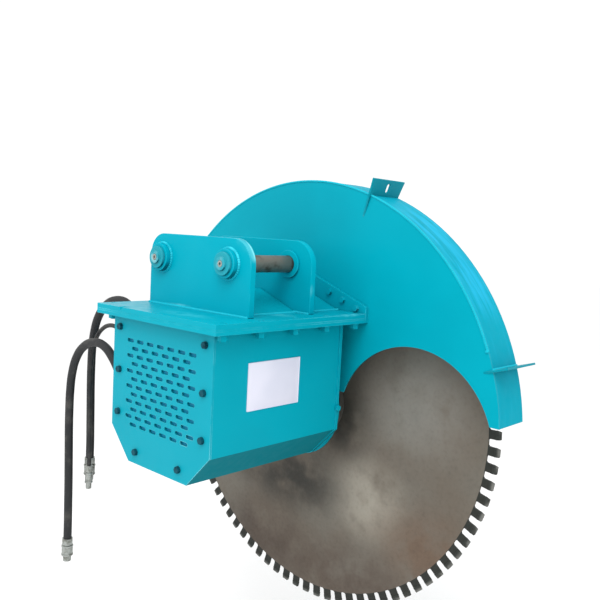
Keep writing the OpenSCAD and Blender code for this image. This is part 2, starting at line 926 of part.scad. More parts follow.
module at_hub_bolts_2d() {
    for (i = [0:hub_bolt_count - 1])
        rotate(i * 360 / hub_bolt_count) translate([hub_bolt_r, 0]) children();
}

// Ring between the housing's end plate and the guard's hub
module guard_hub_ring() {
    color(turquoise) between(end_y, guard_front) difference() {
        circle(hub_ring_out);
        circle(hub_ring_in);
        at_hub_bolts_2d() circle(m10[0] + bolt_gap);
    }
}

// A tab stands across the rim and runs on as a tapering fin down the guard's front
module guard_tab(angle, fin_l) {
    width = guard_front + guard_back;
    rotate([0, -angle, 0])
        translate([0, -guard_front, -tab_t / 2])
            linear_extrude(tab_t) difference() {
                polygon([
                    [guard_r + tab_h, -tab_front], [guard_r - fin_l, 0],
                    [guard_r + seat_gap, 0], [guard_r + seat_gap, width],
                    [guard_r + tab_h, width + tab_back]
                ]);
                tab_slot(width);
            }
}

module tab_slot(width) {
    reach = (tab_slot_l - tab_slot_w) / 2;
    translate([guard_r + tab_h / 2, width / 2]) {
        translate([-reach, 0]) circle(tab_slot_w / 2);
        translate([reach, 0]) circle(tab_slot_w / 2);
        translate([-reach, -tab_slot_w / 2]) square([2 * reach, tab_slot_w]);
    }
}

module guard_upper_tab() {
    color(turquoise) guard_tab(upper_tab_angle, upper_fin_l);
}

module guard_lower_tab() {
    color(turquoise) guard_tab(lower_tab_angle, lower_fin_l);
}

// Bearing cartridge and what it holds
module bearing_cartridge() {
    bore_r = bearing_d / 2 + fit_gap;
    waist_r = bore_r - ring_t;
    color(dark_steel) difference() {
        turned([
            [waist_r, nose_end], [cartridge_d / 2, nose_end],
            [cartridge_d / 2, end_in], [cartridge_flange_d / 2, end_in],
            [cartridge_flange_d / 2, end_in + cartridge_flange_t],
            [cartridge_d / 2, end_in + cartridge_flange_t],
            [cartridge_d / 2, cartridge_end], [bore_r, cartridge_end],
            [bore_r, far_bearing], [waist_r, far_bearing],
            [waist_r, near_bearing + bearing_w], [bore_r, near_bearing + bearing_w],
            [bore_r, nose_end], [waist_r, nose_end]
        ]);
        round_spindle(cartridge_bolt_count, cartridge_bolt_r)
            bar_y(
                m12[0] + fit_gap,
                end_in + cartridge_flange_t + overrun,
                end_in - overrun
            );
        round_spindle(cover_screw_count, cover_screw_r) {
            bar_y(m8[0] + fit_gap, nose_end + cover_screw_l, nose_end - overrun);
            bar_y(
                m8[0] + fit_gap,
                cartridge_end + overrun,
                cartridge_end - cover_screw_l
            );
        }
    }
}

module cartridge_bolts() {
    color(steel) round_spindle(cartridge_bolt_count, cartridge_bolt_r)
        translate([0, -end_in - cartridge_flange_t, 0])
            rotate([-90, 0, 0])
                hex_bolt(m12, cartridge_flange_t + end_plate_t - overrun);
}

module at_bearings() {
    for (far_y = [near_bearing, far_bearing])
        translate([0, -far_y, 0]) children();
}

module bearing_outer_rings() {
    groove_r = ball_d / 2 + seat_gap;
    color(steel) at_bearings() difference() {
        turned([
            [bearing_d / 2 - ring_t, 0], [bearing_d / 2, 0],
            [bearing_d / 2, bearing_w], [bearing_d / 2 - ring_t, bearing_w]
        ]);
        translate([0, -bearing_w / 2, 0])
            rotate([90, 0, 0])
                rotate_extrude() translate([ball_circle_r, 0]) circle(groove_r);
    }
}

module bearing_inner_rings() {
    groove_r = ball_d / 2 + seat_gap;
    inner_r = spindle_d / 2 + fit_gap;
    color(steel) at_bearings() difference() {
        turned([
            [inner_r, 0], [inner_r + ring_t, 0],
            [inner_r + ring_t, bearing_w], [inner_r, bearing_w]
        ]);
        translate([0, -bearing_w / 2, 0])
            rotate([90, 0, 0])
                rotate_extrude() translate([ball_circle_r, 0]) circle(groove_r);
    }
}

module bearing_balls() {
    color("white") at_bearings()
        translate([0, -bearing_w / 2, 0])
            round_spindle(ball_count, ball_circle_r) sphere(d = ball_d);
}

// A cover at each end of the cartridge, with a spigot that holds the bearing
module bearing_covers() {
    spigot_r = bearing_d / 2 - fit_gap;
    hole_r = spindle_d / 2 + seal_t;
    color(dark_steel) difference() {
        union() {
            turned([
                [hole_r, nose_end - bearing_cover_t], [cartridge_d / 2, nose_end - bearing_cover_t],
                [cartridge_d / 2, nose_end], [spigot_r, nose_end],
                [spigot_r, near_bearing], [spigot_r - ring_t, near_bearing],
                [spigot_r - ring_t, nose_end], [hole_r, nose_end]
            ]);
            turned([
                [hole_r, cartridge_end + bearing_cover_t],
                [cartridge_d / 2, cartridge_end + bearing_cover_t],
                [cartridge_d / 2, cartridge_end], [spigot_r, cartridge_end],
                [spigot_r, far_bearing + bearing_w],
                [spigot_r - ring_t, far_bearing + bearing_w],
                [spigot_r - ring_t, cartridge_end], [hole_r, cartridge_end]
            ]);
        }
        round_spindle(cover_screw_count, cover_screw_r)
            bar_y(
                m8[0] + bolt_gap,
                cartridge_end + bearing_cover_t + overrun,
                nose_end - bearing_cover_t - overrun
            );
    }
}

module bearing_cover_bolts() {
    color(steel) round_spindle(cover_screw_count, cover_screw_r) {
        translate([0, -nose_end + bearing_cover_t, 0])
            rotate([90, 0, 0]) cover_screw();
        translate([0, -cartridge_end - bearing_cover_t, 0])
            rotate([-90, 0, 0]) cover_screw();
    }
}

module cover_screw() {
    cylinder(r = m8[0], h = cover_screw_l);
    translate([0, 0, -m8[2]]) cylinder(d = m8[1] * hex_ratio, h = m8[2], $fn = 6);
}

module oil_seals() {
    inner_r = spindle_d / 2 + seat_gap;
    outer_r = spindle_d / 2 + seal_t - fit_gap;
    color("black") {
        bar_ring(outer_r, inner_r, nose_end, nose_end - bearing_cover_t);
        bar_ring(outer_r, inner_r, cartridge_end + bearing_cover_t, cartridge_end);
    }
}

module bar_ring(outer_r, inner_r, far_y, near_y) {
    between(far_y, near_y) difference() {
        circle(outer_r);
        circle(inner_r);
    }
}

// Motor
module motor_mount_plate() {
    color(turquoise) between(motor_face, motor_plate_y) difference() {
        polygon(concat(
            inner_outline,
            [for (i = [2:-1:0]) [-inner_outline[i][0], inner_outline[i][1]]]
        ));
        circle(motor_spigot_d / 2 + fit_gap);
        for (i = [0:motor_bolt_count - 1])
            rotate(45 + i * 360 / motor_bolt_count)
                translate([motor_bolt_r, 0]) circle(m12[0] + fit_gap);
    }
}

module motor_body() {
    spigot_l = motor_plate_t / 2;
    shaft_r = drive_d / 2 + seat_gap;
    flange_end = motor_face + motor_flange_t;
    color("darkslategray") difference() {
        turned([
            [shaft_r, motor_face - spigot_l], [motor_spigot_d / 2, motor_face - spigot_l],
            [motor_spigot_d / 2, motor_face], [motor_flange_d / 2, motor_face],
            [motor_flange_d / 2, flange_end], [motor_d / 2, flange_end],
            [motor_d / 2, motor_back], [shaft_r, motor_back]
        ]);
        for (i = [0:motor_bolt_count - 1])
            rotate([0, 45 + i * 360 / motor_bolt_count, 0])
                translate([motor_bolt_r, 0, 0])
                    bar_y(m12[0] + bolt_gap, flange_end + overrun, motor_face - overrun);
    }
}

module motor_end_cap() {
    color("darkslategray") bar_y(motor_d / 2, motor_back + motor_cap_l, motor_back);
}

module motor_bolts() {
    color(steel)
        for (i = [0:motor_bolt_count - 1])
            rotate([0, 45 + i * 360 / motor_bolt_count, 0])
                translate([motor_bolt_r, -motor_face - motor_flange_t, 0])
                    rotate([-90, 0, 0]) hex_bolt(m12, motor_flange_t + motor_plate_t - overrun);
}

// Block on the motor's side that the three lines leave
module motor_port_block() {
    block_h = motor_d / 2;
    block_l = 2 * port_step + 2 * line_r[0] + 2 * line_r[1];
    color("darkslategray") difference() {
        translate([-block_x, port_ys[1] - block_l / 2, -block_h / 2])
            cube([block_x, block_l, block_h]);
        bar_y(motor_d / 2 + seat_gap, motor_back + block_l, motor_face);
        for (i = [0:2])
            translate([-block_x - overrun, port_ys[i], 0])
                rotate([0, 90, 0]) cylinder(r = port_r[i], h = block_w / 2 + overrun);
    }
}

// A steel line goes up and out from the block to each port in the side plate
module motor_lines() {
    rise_x = (housing_w / 2 - wall_t + block_x) / 2;
    color(steel)
        for (i = [0:2])
            translate([0, port_ys[i], 0]) difference() {
                line_run(i, line_r[i], rise_x, 0);
                line_run(i, port_r[i], rise_x, overrun);
            }
}

module line_run(i, r, rise_x, extra) {
    translate([-rise_x, 0, 0])
        rotate([0, 90, 0]) cylinder(r = r, h = rise_x - block_x + extra);
    translate([-rise_x, 0, 0]) sphere(r);
    translate([-rise_x, 0, 0]) cylinder(r = r, h = port_z[i]);
    translate([-rise_x, 0, port_z[i]]) sphere(r);
    translate([-housing_w / 2 - extra, 0, port_z[i]])
        rotate([0, 90, 0]) cylinder(r = r, h = housing_w / 2 + extra - rise_x);
}

// Bulkhead hexagon and 45 degree elbow for each hose
module hose_fittings() {
    color(steel)
        for (i = [0:2])
            translate([-housing_w / 2, port_ys[i], port_z[i]])
                rotate([0, -90, 0]) elbow(elbow_r[i]);
}

module elbow(r) {
    cylinder(r = r * hex_ratio, h = fitting_l / 2, $fn = 6);
    cylinder(r = r * elbow_share, h = fitting_l);
    translate([0, 0, fitting_l]) sphere(r * elbow_body_share);
    translate([0, 0, fitting_l]) rotate([0, 45, 0]) {
        cylinder(r = r * elbow_share, h = elbow_l - ferrule_l);
        translate([0, 0, elbow_l - ferrule_l]) cylinder(r = r, h = ferrule_l);
    }
}

// Spindle and what turns with it
module spindle() {
    color(steel) turned([
        [0, -spindle_tip], [thread_d / 2, -spindle_tip], [thread_d / 2, -thread_start],
        [spindle_d / 2, -thread_start], [spindle_d / 2, hub_end],
        [spindle_waist_d / 2, hub_end], [spindle_waist_d / 2, spindle_shoulder],
        [spindle_d / 2, spindle_shoulder], [spindle_d / 2, near_bearing + bearing_w],
        [spindle_waist_d / 2, near_bearing + bearing_w],
        [spindle_waist_d / 2, far_bearing], [spindle_d / 2, far_bearing],
        [spindle_d / 2, cartridge_end + bearing_cover_t + overrun],
        [drive_d / 2, cartridge_end + bearing_cover_t + overrun],
        [drive_d / 2, spindle_end], [0, spindle_end]
    ]);
}

module motor_shaft() {
    color(steel) bar_y(drive_d / 2, motor_back - overrun, spindle_end + shaft_gap);
}

module coupling_sleeve() {
    color(dark_steel)
        bar_ring(sleeve_d / 2, drive_d / 2 + fit_gap, sleeve_start + sleeve_l, sleeve_start);
}

module drive_pin_holes(far_y, near_y) {
    round_spindle(drive_pin_count, drive_circle_d / 2)
        bar_y(drive_pin_d / 2 + fit_gap, far_y + overrun, near_y - overrun);
}

module inner_flange() {
    bore_r = spindle_d / 2 + fit_gap;
    face = core_t / 2;
    color(steel) difference() {
        turned([
            [bore_r, face], [flange_d / 2, face], [flange_d / 2, face + inner_flange_t],
            [flange_hub_d / 2, face + inner_flange_t], [flange_hub_d / 2, hub_end],
            [bore_r, hub_end]
        ]);
        drive_pin_holes(face + inner_flange_t, face);
    }
}

module outer_flange() {
    face = core_t / 2;
    color(steel) difference() {
        bar_ring(flange_d / 2, spindle_d / 2 + fit_gap, -face, -face - outer_flange_t);
        drive_pin_holes(-face, -face - outer_flange_t);
    }
}

module drive_pins() {
    face = core_t / 2;
    color(dark_steel) round_spindle(drive_pin_count, drive_circle_d / 2)
        bar_y(drive_pin_d / 2, face + inner_flange_t, -face - outer_flange_t);
}

module spindle_nut() {
    start = core_t / 2 + outer_flange_t;
    color(steel) translate([0, start, 0])
        rotate([-90, 0, 0]) difference() {
            cylinder(d = nut_flats * hex_ratio, h = nut_h, $fn = 6);
            translate([0, 0, -overrun])
                cylinder(r = thread_d / 2 + fit_gap, h = nut_h + 2 * overrun);
        }
}

// Blade core: a land for each segment, with a bevelled gullet after it
function turned_point(point, angle) = [
    point[0] * cos(angle) - point[1] * sin(angle),
    point[0] * sin(angle) + point[1] * cos(angle)
];

gullet_half = root_r * tan(pitch_angle / 2) - land_l / 2;

tooth_outline = [
    [-root_r * tan(pitch_angle / 2) + gullet_half - gullet_bevel, root_r],
    [-land_l / 2, root_r + gullet_bevel],
    [-land_l / 2, land_r],
    [land_l / 2, land_r],
    [land_l / 2, root_r + gullet_bevel],
    [root_r * tan(pitch_angle / 2) - gullet_half + gullet_bevel, root_r]
];

module blade_core() {
    color(dark_steel) difference() {
        between(core_t / 2, -core_t / 2)
            difference() {
                polygon([
                    for (i = [0:segment_count - 1], point = tooth_outline)
                        turned_point(point, -i * pitch_angle)
                ]);
                circle(spindle_d / 2 + fit_gap);
            }
        drive_pin_holes(core_t / 2, -core_t / 2);
    }
}

module blade_segments() {
    color("gray")
        for (i = [0:segment_count - 1])
            rotate([0, i * pitch_angle, 0])
                translate([-segment_l / 2, -segment_t / 2, land_r])
                    cube([segment_l, segment_t, segment_h]);
}

// Hoses and couplers

hose_sides = 10;

function toward(points, i) =
    let (
        ahead = points[min(i + 1, len(points) - 1)],
        behind = points[max(i - 1, 0)]
    ) (ahead - behind) / norm(ahead - behind);

// A tube of one radius along points that lie in an X and Z plane
module swept(points, r) {
    rings = [
        for (i = [0:len(points) - 1])
            let (ahead = toward(points, i), aside = [-ahead[2], 0, ahead[0]])
                for (k = [0:hose_sides - 1])
                    let (a = k * 360 / hose_sides)
                        points[i] + r * (cos(a) * aside + [0, sin(a), 0])
    ];
    last = len(points) - 1;
    polyhedron(rings, concat(
        [[for (k = [0:hose_sides - 1]) k]],
        [
            for (i = [0:last - 1], k = [0:hose_sides - 1])
                let (next = (k + 1) % hose_sides) [
                    i * hose_sides + k,
                    (i + 1) * hose_sides + k,
                    (i + 1) * hose_sides + next,
                    i * hose_sides + next
                ]
        ],
        [[for (k = [hose_sides - 1:-1:0]) last * hose_sides + k]]
    ));
}

module hose(i) {
    color("black") translate(hose_start[i]) swept(routes[i], hose_r[i]);
}

module pressure_hose() hose(0);

module drain_hose() hose(1);

module return_hose() hose(2);

// A quick coupler hangs on each hose: hexagon, sleeve and nose
module hose_couplers() {
    color(steel)
        for (i = [0:2])
            translate(hose_start[i] + routes[i][len(routes[i]) - 1])
                coupler(coupler_rs[i], coupler_nose_rs[i]);
}

module coupler(r, nose_r) {
    hex_l = coupler_l / 4;
    translate([0, 0, -hex_l]) cylinder(r = r, h = hex_l, $fn = 6);
    translate([0, 0, coupler_nose_l - coupler_l])
        cylinder(r = r, h = coupler_l - coupler_nose_l - hex_l);
    translate([0, 0, -coupler_l]) cylinder(r = nose_r, h = coupler_nose_l);
}

placed() {
    base_plate();
    front_ear();
    rear_ear();
    pin_bosses();
    stick_pin();
    link_pin();
    pin_caps();
    pin_cap_screws();
    front_deck();
    rear_deck();
    guard_flange();
    spacer_plate();
    housing_flange_bars();
    housing_left_side();
    housing_right_side();
    housing_bottom();
    housing_end_plate();
    end_plate_screws();
    flange_studs();
    flange_nuts();
    grille_cover();
    grille_pads();
    grille_bolts();
    guard_front_plate();
    guard_rim();
    guard_rear_plate();
    guard_upper_tab();
    guard_lower_tab();
    guard_hub_ring();
    guard_bolts();
    guard_nuts();
    bearing_cartridge();
    cartridge_bolts();
    bearing_outer_rings();
    bearing_covers();
    bearing_cover_bolts();
    oil_seals();
    motor_mount_plate();
    motor_body();
    motor_end_cap();
    motor_bolts();
    motor_port_block();
    motor_lines();
    hose_fittings();
    spindle();
    bearing_inner_rings();
    bearing_balls();
    motor_shaft();
    coupling_sleeve();
    inner_flange();
    outer_flange();
    drive_pins();
    spindle_nut();
    blade_core();
    blade_segments();
    pressure_hose();
    drain_hose();
    return_hose();
    hose_couplers();
}
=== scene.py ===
import math

import bpy
from mathutils import Matrix, Vector


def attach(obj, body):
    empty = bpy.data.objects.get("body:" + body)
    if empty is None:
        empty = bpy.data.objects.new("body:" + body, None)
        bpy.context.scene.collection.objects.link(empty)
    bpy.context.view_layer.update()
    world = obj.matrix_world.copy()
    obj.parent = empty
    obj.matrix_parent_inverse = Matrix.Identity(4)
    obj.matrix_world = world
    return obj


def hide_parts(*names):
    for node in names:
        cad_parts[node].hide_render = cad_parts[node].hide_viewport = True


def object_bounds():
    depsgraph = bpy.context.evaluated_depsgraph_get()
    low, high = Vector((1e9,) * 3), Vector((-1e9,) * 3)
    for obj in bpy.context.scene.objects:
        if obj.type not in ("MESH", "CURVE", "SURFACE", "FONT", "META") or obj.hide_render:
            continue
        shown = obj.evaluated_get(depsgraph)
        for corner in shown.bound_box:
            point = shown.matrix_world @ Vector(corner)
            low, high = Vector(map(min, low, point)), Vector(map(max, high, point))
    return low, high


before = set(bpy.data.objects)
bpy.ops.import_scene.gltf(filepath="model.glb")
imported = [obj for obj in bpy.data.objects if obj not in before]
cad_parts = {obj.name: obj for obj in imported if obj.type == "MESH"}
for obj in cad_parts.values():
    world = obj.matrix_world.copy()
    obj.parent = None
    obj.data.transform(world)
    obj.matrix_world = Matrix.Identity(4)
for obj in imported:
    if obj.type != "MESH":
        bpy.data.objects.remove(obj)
print("frame loaded:", len(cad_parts), "nodes")
cadLow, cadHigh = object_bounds()
bpy.ops.object.select_all(action="DESELECT")

# Places in the frame, in metres: the origin is on the stick pin, midway between the ears
mm = 0.001
bladeCentre = Vector((0.180, 0.409, -0.473))  # on the spindle, in the blade's mid plane
smoothAngle = math.radians(35)  # faces that meet at less than this are shaded as one
bandPeriod = 0.314  # period of a wave texture of scale 1, in metres


def fromBlade(x, y, z):
    # A point given in millimetres from the blade's centre
    return bladeCentre + Vector((x, y, z)) * mm


# Camera, set by the blade's and the housing's edges in the photograph
cameraSettings = {
    "place": (1.829305, -1.489223, 0.100578),
    "right": (0.73034918, 0.6810413, 0.05265768),
    "up": (-0.10207407, 0.03259009, 0.99424281),
    "back": (0.67540429, -0.73151941, 0.0933188),
    "lens": 44.124,
    "sensor": 36.0,
    "clip": (0.05, 60),
}


def makeCamera(settings):
    data = bpy.data.cameras.new("sawCamera")
    data.lens = settings["lens"]
    data.sensor_width = settings["sensor"]
    data.clip_start, data.clip_end = settings["clip"]
    camera = bpy.data.objects.new("sawCamera", data)
    bpy.context.scene.collection.objects.link(camera)
    axes = Matrix((settings["right"], settings["up"], settings["back"])).transposed()
    camera.matrix_world = Matrix.Translation(settings["place"]) @ axes.to_4x4()
    bpy.context.scene.camera = camera


makeCamera(cameraSettings)
print("camera made")


# Materials

def linear(hexColour):
    # sRGB hex to linear RGBA
    channels = [int(hexColour[i:i + 2], 16) / 255 for i in (1, 3, 5)]
    return [c / 12.92 if c <= 0.04045 else ((c + 0.055) / 1.055) ** 2.4 for c in channels] + [1.0]


def addNode(tree, kind, settings=None, sockets=None):
    # Adds one node; a socket's value is a number, a colour or another node's output
    node = tree.nodes.new("ShaderNode" + kind)
    for name, value in (settings or {}).items():
        setattr(node, name, value)
    for name, value in (sockets or {}).items():
        if isinstance(value, bpy.types.NodeSocket):
            tree.links.new(value, node.inputs[name])
        else:
            node.inputs[name].default_value = value
    return node


def newMaterial(name):
    material = bpy.data.materials.new(name)
    material.use_nodes = True
    tree = material.node_tree
    tree.nodes.clear()
    shader = addNode(tree, "BsdfPrincipled")
    output = addNode(tree, "OutputMaterial")
    tree.links.new(shader.outputs["BSDF"], output.inputs["Surface"])
    return material, tree, shader


def objectPoint(tree, centre=(0, 0, 0), stretch=(1, 1, 1)):
    # Object coordinates, moved so that centre is their zero
    coordinates = addNode(tree, "TexCoord")
    mapping = addNode(tree, "Mapping", {"vector_type": "POINT"}, {
        "Vector": coordinates.outputs["Object"],
        "Location": [-c * s for c, s in zip(centre, stretch)],
        "Scale": stretch,
    })
    return mapping.outputs["Vector"]


def ramp(tree, value, low, high):
    # 0 at low and 1 at high, with soft ends; low may be the larger of the two
    return addNode(tree, "MapRange", {"interpolation_type": "SMOOTHSTEP"},
                   {"Value": value, "From Min": low, "From Max": high}).outputs["Result"]


def spread(tree, value, low, high):
    # A noise's middle range, spread evenly from low to high
    return addNode(tree, "MapRange", {}, {
        "Value": value, "From Min": 0.3, "From Max": 0.7, "To Min": low, "To Max": high,
    }).outputs["Result"]


def mixColours(tree, share, first, second):
    return addNode(tree, "Mix", {"data_type": "RGBA", "blend_type": "MIX"},
                   {0: share, 6: first, 7: second}).outputs[2]


def times(tree, first, second):
    return addNode(tree, "Math", {"operation": "MULTIPLY"}, {0: first, 1: second}).outputs[0]


def noiseAt(tree, point, grain, detail=3.0, roughness=0.55, distortion=0.0):
    # grain is the size in metres of one patch
    return addNode(tree, "TexNoise", {}, {
        "Vector": point, "Scale": 1 / grain, "Detail": detail,
        "Roughness": roughness, "Distortion": distortion,
    }).outputs["Fac"]


def ovalMask(tree, place, size):
    # 1 inside an oval with soft edges; place, from the blade's centre, and size are in millimetres
    point = objectPoint(tree, fromBlade(*place), [1 / (s * mm) for s in size])
    distance = addNode(tree, "VectorMath", {"operation": "LENGTH"}, {0: point}).outputs["Value"]
    return ramp(tree, distance, 1.0, 0.15)


def roughen(tree, shader, height, strength, distance):
    # Bump from a height, which distance scales in metres
    bump = addNode(tree, "Bump", {}, {"Strength": strength, "Distance": distance, "Height": height})
    tree.links.new(bump.outputs["Normal"], shader.inputs["Normal"])


def edgeMask(tree, radius):
    # 1 on edges, from the angle between the true normal and one rounded over the radius
    rounded = addNode(tree, "Bevel", {"samples": 4}, {"Radius": radius})
    geometry = addNode(tree, "NewGeometry")
    dot = addNode(tree, "VectorMath", {"operation": "DOT_PRODUCT"}, {
        0: rounded.outputs["Normal"], 1: geometry.outputs["Normal"]
    }).outputs["Value"]
    return addNode(tree, "Math", {"operation": "SUBTRACT", "use_clamp": True},
                   {0: 1.0, 1: dot}).outputs[0]


# Sprayed gloss enamel on hot rolled plate: an even, deep coat with a faint orange peel,
# thin and pale where edges and feet were rubbed, with painted highlights on some edges and corners,
# and with painted shade in corners and gaps and on faces that look down
enamelSettings = {
    "saw_enamel": {
        "colour": "#019DB0", "deep": "#0195A8", "paleColour": "#5FD3E0", "streak": 0.0, "roughness": 0.34,
        "scuffsAndPaintedHighlights": [
            # place, size, share
            ((262, -180, 330), (16, 95, 9), 0.75),
            ((60, -640, 330), (150, 55, 12), 0.22),
            ((183, -387, 330), (60, 45, 12), 0.30),
        ],
        "rubbedEdgesAndPaintedHighlights": [
            ((-250, -690, 320), (110, 60, 60), 0.85),
            ((262, -240, 330), (60, 260, 40), 0.6),
        ],
    },
    # A slightly whiter copy of the enamel for the grille cover: painted sheen on the face turned to the
    # light
    "cover_enamel_painted_sheen": {
        "colour": "#0F9CAF", "deep": "#0A95A8", "paleColour": "#8FE0E8", "streak": 0.0, "roughness": 0.38,
        "scuffsAndPaintedHighlights": [],
        "rubbedEdgesAndPaintedHighlights": [((182, -673, -79), (150, 60, 150), 0.95)],
    },
    "rim_enamel": {
        "colour": "#039DB3", "deep": "#0292A8", "paleColour": "#2CBDEA", "streak": 0.10, "roughness": 0.50,
        "specular": 0.04,
        # The two pale ovals on the upper rim are rubbed streaks and also a painted highlight on the upper
        # rim
        "scuffsAndPaintedHighlights": [((450, -20, 590), (260, 200, 170), 0.45), ((585, -20, 445), (120, 200, 170), 0.50)],
    },
    # A lighter copy of the enamel for weld beads, with painted highlights on the fillets: its two ovals
    # are painted highlights on the boss welds, and it takes no painted corner or underside shade
    "bead_enamel_painted_highlight": {
        "colour": "#1CB2C5", "deep": "#14A9BC", "paleColour": "#4FE2F2", "streak": 0.0, "roughness": 0.34,
        "scuffsAndPaintedHighlights": [((-156, -545, 498), (46, 40, 46), 0.9), ((148, -545, 500), (48, 40, 48), 0.9)],
        "corner": 0.0, "undersideShade": 0.0,
    },
    # A darker copy of the enamel for the guard's tabs: painted shade on their shaded faces; the pale oval
    # is wear
    "tab_enamel_painted_shade": {
        "colour": "#018A9B", "deep": "#017988", "paleColour": "#8FE0E8", "streak": 0.0, "roughness": 0.38,
        "scuffsAndPaintedHighlights": [((718, -82, 226), (30, 14, 16), 0.7)],
    },
    "cap_enamel": {
        "colour": "#2A9EAD", "deep": "#1F8E9C", "paleColour": "#BFE3E2", "streak": 0.0, "roughness": 0.36,
        "scuffsAndPaintedHighlights": [((-180, -590, 473), (30, 40, 30), 0.85), ((120, -590, 473), (26, 40, 26), 0.55)],
    },
    # A lighter copy of the enamel for the ears and bosses: painted light that lifts the shaded rear ear
    "ear_enamel_painted_light": {
        "colour": "#00A2B6", "deep": "#009DB1", "paleColour": "#83E0E8", "streak": 0.01, "roughness": 0.34,
        "scuffsAndPaintedHighlights": [
            ((-50, -541, 336), (120, 40, 6), 0.65),
            ((218, -298, 400), (10, 30, 34), 0.8),
            # The three ovals here and the rubbed edge below are painted highlights on the front ear's top
            # right corner
            ((204, -531, 502), (24, 30, 26), 0.8),
            ((189, -531, 523), (26, 30, 26), 0.8),
            ((168, -531, 538), (26, 30, 22), 0.6),
        ],
        "rubbedEdgesAndPaintedHighlights": [((185, -531, 535), (90, 60, 90), 0.9)], "specular": 0.06,
    },
}
# What all the enamels share: grains and reaches in metres, shares of colour, and colours
coatSettings = {
    "cloud": 0.30,  # tone drifts over two hands' width
    "fine": 0.03, "streaks": 0.16,
    "peel": 0.006,  # orange peel is about 1 mm, drawn larger so that it shows
    # The corner shade and the underside shade below are painted shade: they darken corners, gaps and faces
    # that look down
    "wornReach": 0.004, "paleEdgeReach": 0.003, "cornerShadeReach": 0.05,
    "deepShare": 0.6, "wornShare": 0.18, "cornerShadeShare": 0.55, "undersideShadeShare": 0.78,
    "undersideRoughness": 0.45, "specular": 0.11,
    "undersideShadeColour": "#085E66", "cornerShadeColour": "#04586A", "tint": "#7FE6F2",
}


def enamel(name, settings, coat):
    material, tree, shader = newMaterial(name)
    paleColour = linear(settings["paleColour"])
    point = objectPoint(tree)
    cloud = noiseAt(tree, point, coat["cloud"], 2.0, 0.5, 0.2)
    fine = noiseAt(tree, point, coat["fine"])
    colour = mixColours(tree, times(tree, ramp(tree, cloud, 0.40, 0.66), coat["deepShare"]),
                        linear(settings["colour"]), linear(settings["deep"]))
    grain = fine
    if settings["streak"] > 0:
        grain = noiseAt(tree, objectPoint(tree, (0, 0, 0), (1, 9, 1)), coat["streaks"], 3.0, 0.55, 0.4)
        streaks = times(tree, ramp(tree, grain, 0.52, 0.74), settings["streak"])
        colour = mixColours(tree, streaks, colour, paleColour)
    # Pale marks: scuffs of worn paint, and on some coats painted highlights
    for place, size, share in settings["scuffsAndPaintedHighlights"]:
        paleMark = times(tree, ovalMask(tree, place, size), ramp(tree, grain, 0.34, 0.60))
        colour = mixColours(tree, times(tree, paleMark, share), colour, paleColour)
    worn = times(tree, ramp(tree, edgeMask(tree, coat["wornReach"]), 0.02, 0.20),
                 ramp(tree, fine, 0.40, 0.62))
    colour = mixColours(tree, times(tree, worn, coat["wornShare"]), colour, paleColour)
    # Pale rubbed edges, and on the ear coat a painted highlight along an edge
    for place, size, share in settings.get("rubbedEdgesAndPaintedHighlights", []):
        paleMark = times(tree, ramp(tree, edgeMask(tree, coat["paleEdgeReach"]), 0.01, 0.06),
                       ovalMask(tree, place, size))
        colour = mixColours(tree, times(tree, paleMark, share), colour, paleColour)
    # Painted shade: the paint is darkened towards the corner shade colour where ambient occlusion finds
    # corners and gaps
    hollow = addNode(tree, "AmbientOcclusion", {"samples": 8},
                     {"Distance": coat["cornerShadeReach"]}).outputs["AO"]
    mark = times(tree, ramp(tree, hollow, 0.70, 0.10), settings.get("corner", coat["cornerShadeShare"]))
    colour = mixColours(tree, mark, colour, linear(coat["cornerShadeColour"]))
    # Painted shade: faces that look down are darkened towards the underside shade colour, and they are
    # also made rougher
    normal = addNode(tree, "NewGeometry").outputs["Normal"]
    undersideShade = ramp(tree, addNode(tree, "SeparateXYZ", {}, {0: normal}).outputs["Z"], -0.25, -0.6)
    undersideShadeAmount = times(tree, undersideShade, settings.get("undersideShade", coat["undersideShadeShare"]))
    colour = mixColours(tree, undersideShadeAmount, colour, linear(coat["undersideShadeColour"]))
    tree.links.new(colour, shader.inputs["Base Color"])
    rough = spread(tree, fine, settings["roughness"] - 0.05, settings["roughness"] + 0.10)
    rough = addNode(tree, "Math", {"operation": "ADD", "use_clamp": True},
                    {0: rough, 1: times(tree, undersideShade, coat["undersideRoughness"])}).outputs[0]
    tree.links.new(rough, shader.inputs["Roughness"])
    roughen(tree, shader, noiseAt(tree, point, coat["peel"], 1.0), 0.05, 0.001)
    shader.inputs["Specular IOR Level"].default_value = settings.get("specular", coat["specular"])
    shader.inputs["Specular Tint"].default_value = linear(coat["tint"])
    return material


enamels = {name: enamel(name, settings, coatSettings) for name, settings in enamelSettings.items()}


# Zinc plated and oiled steels: pale grey, dull, with darker grease in patches
steelSettings = {
    "zinc_plated_steel": {"colour": "#A5A9A5", "dirt": "#7A7B74", "roughness": 0.42, "metallic": 0.85},
    "blackened_steel": {"colour": "#3A4648", "dirt": "#23292A", "roughness": 0.45, "metallic": 0.6},
    "overpainted_bolt_steel": {
        "colour": "#084C5A", "dirt": "#06303C", "roughness": 0.5, "metallic": 0.0, "specular": 0.12},
    "greased_pin_steel": {
        "colour": "#77746C", "dirt": "#4A4339", "roughness": 0.42, "metallic": 0.8, "patch": 0.045},
    "turned_steel": {
        "colour": "#868783", "dirt": "#74726C", "roughness": 0.40, "metallic": 0.9, "patch": 0.07},
    "oiled_casting": {"colour": "#3B3E40", "dirt": "#1F2122", "roughness": 0.52, "metallic": 0.5},
    "bearing_steel": {"colour": "#C9CCCE", "dirt": "#A9ABAC", "roughness": 0.18, "metallic": 1.0},
    "motor_enamel": {"colour": "#20272A", "dirt": "#121618", "roughness": 0.40, "metallic": 0.0},
}


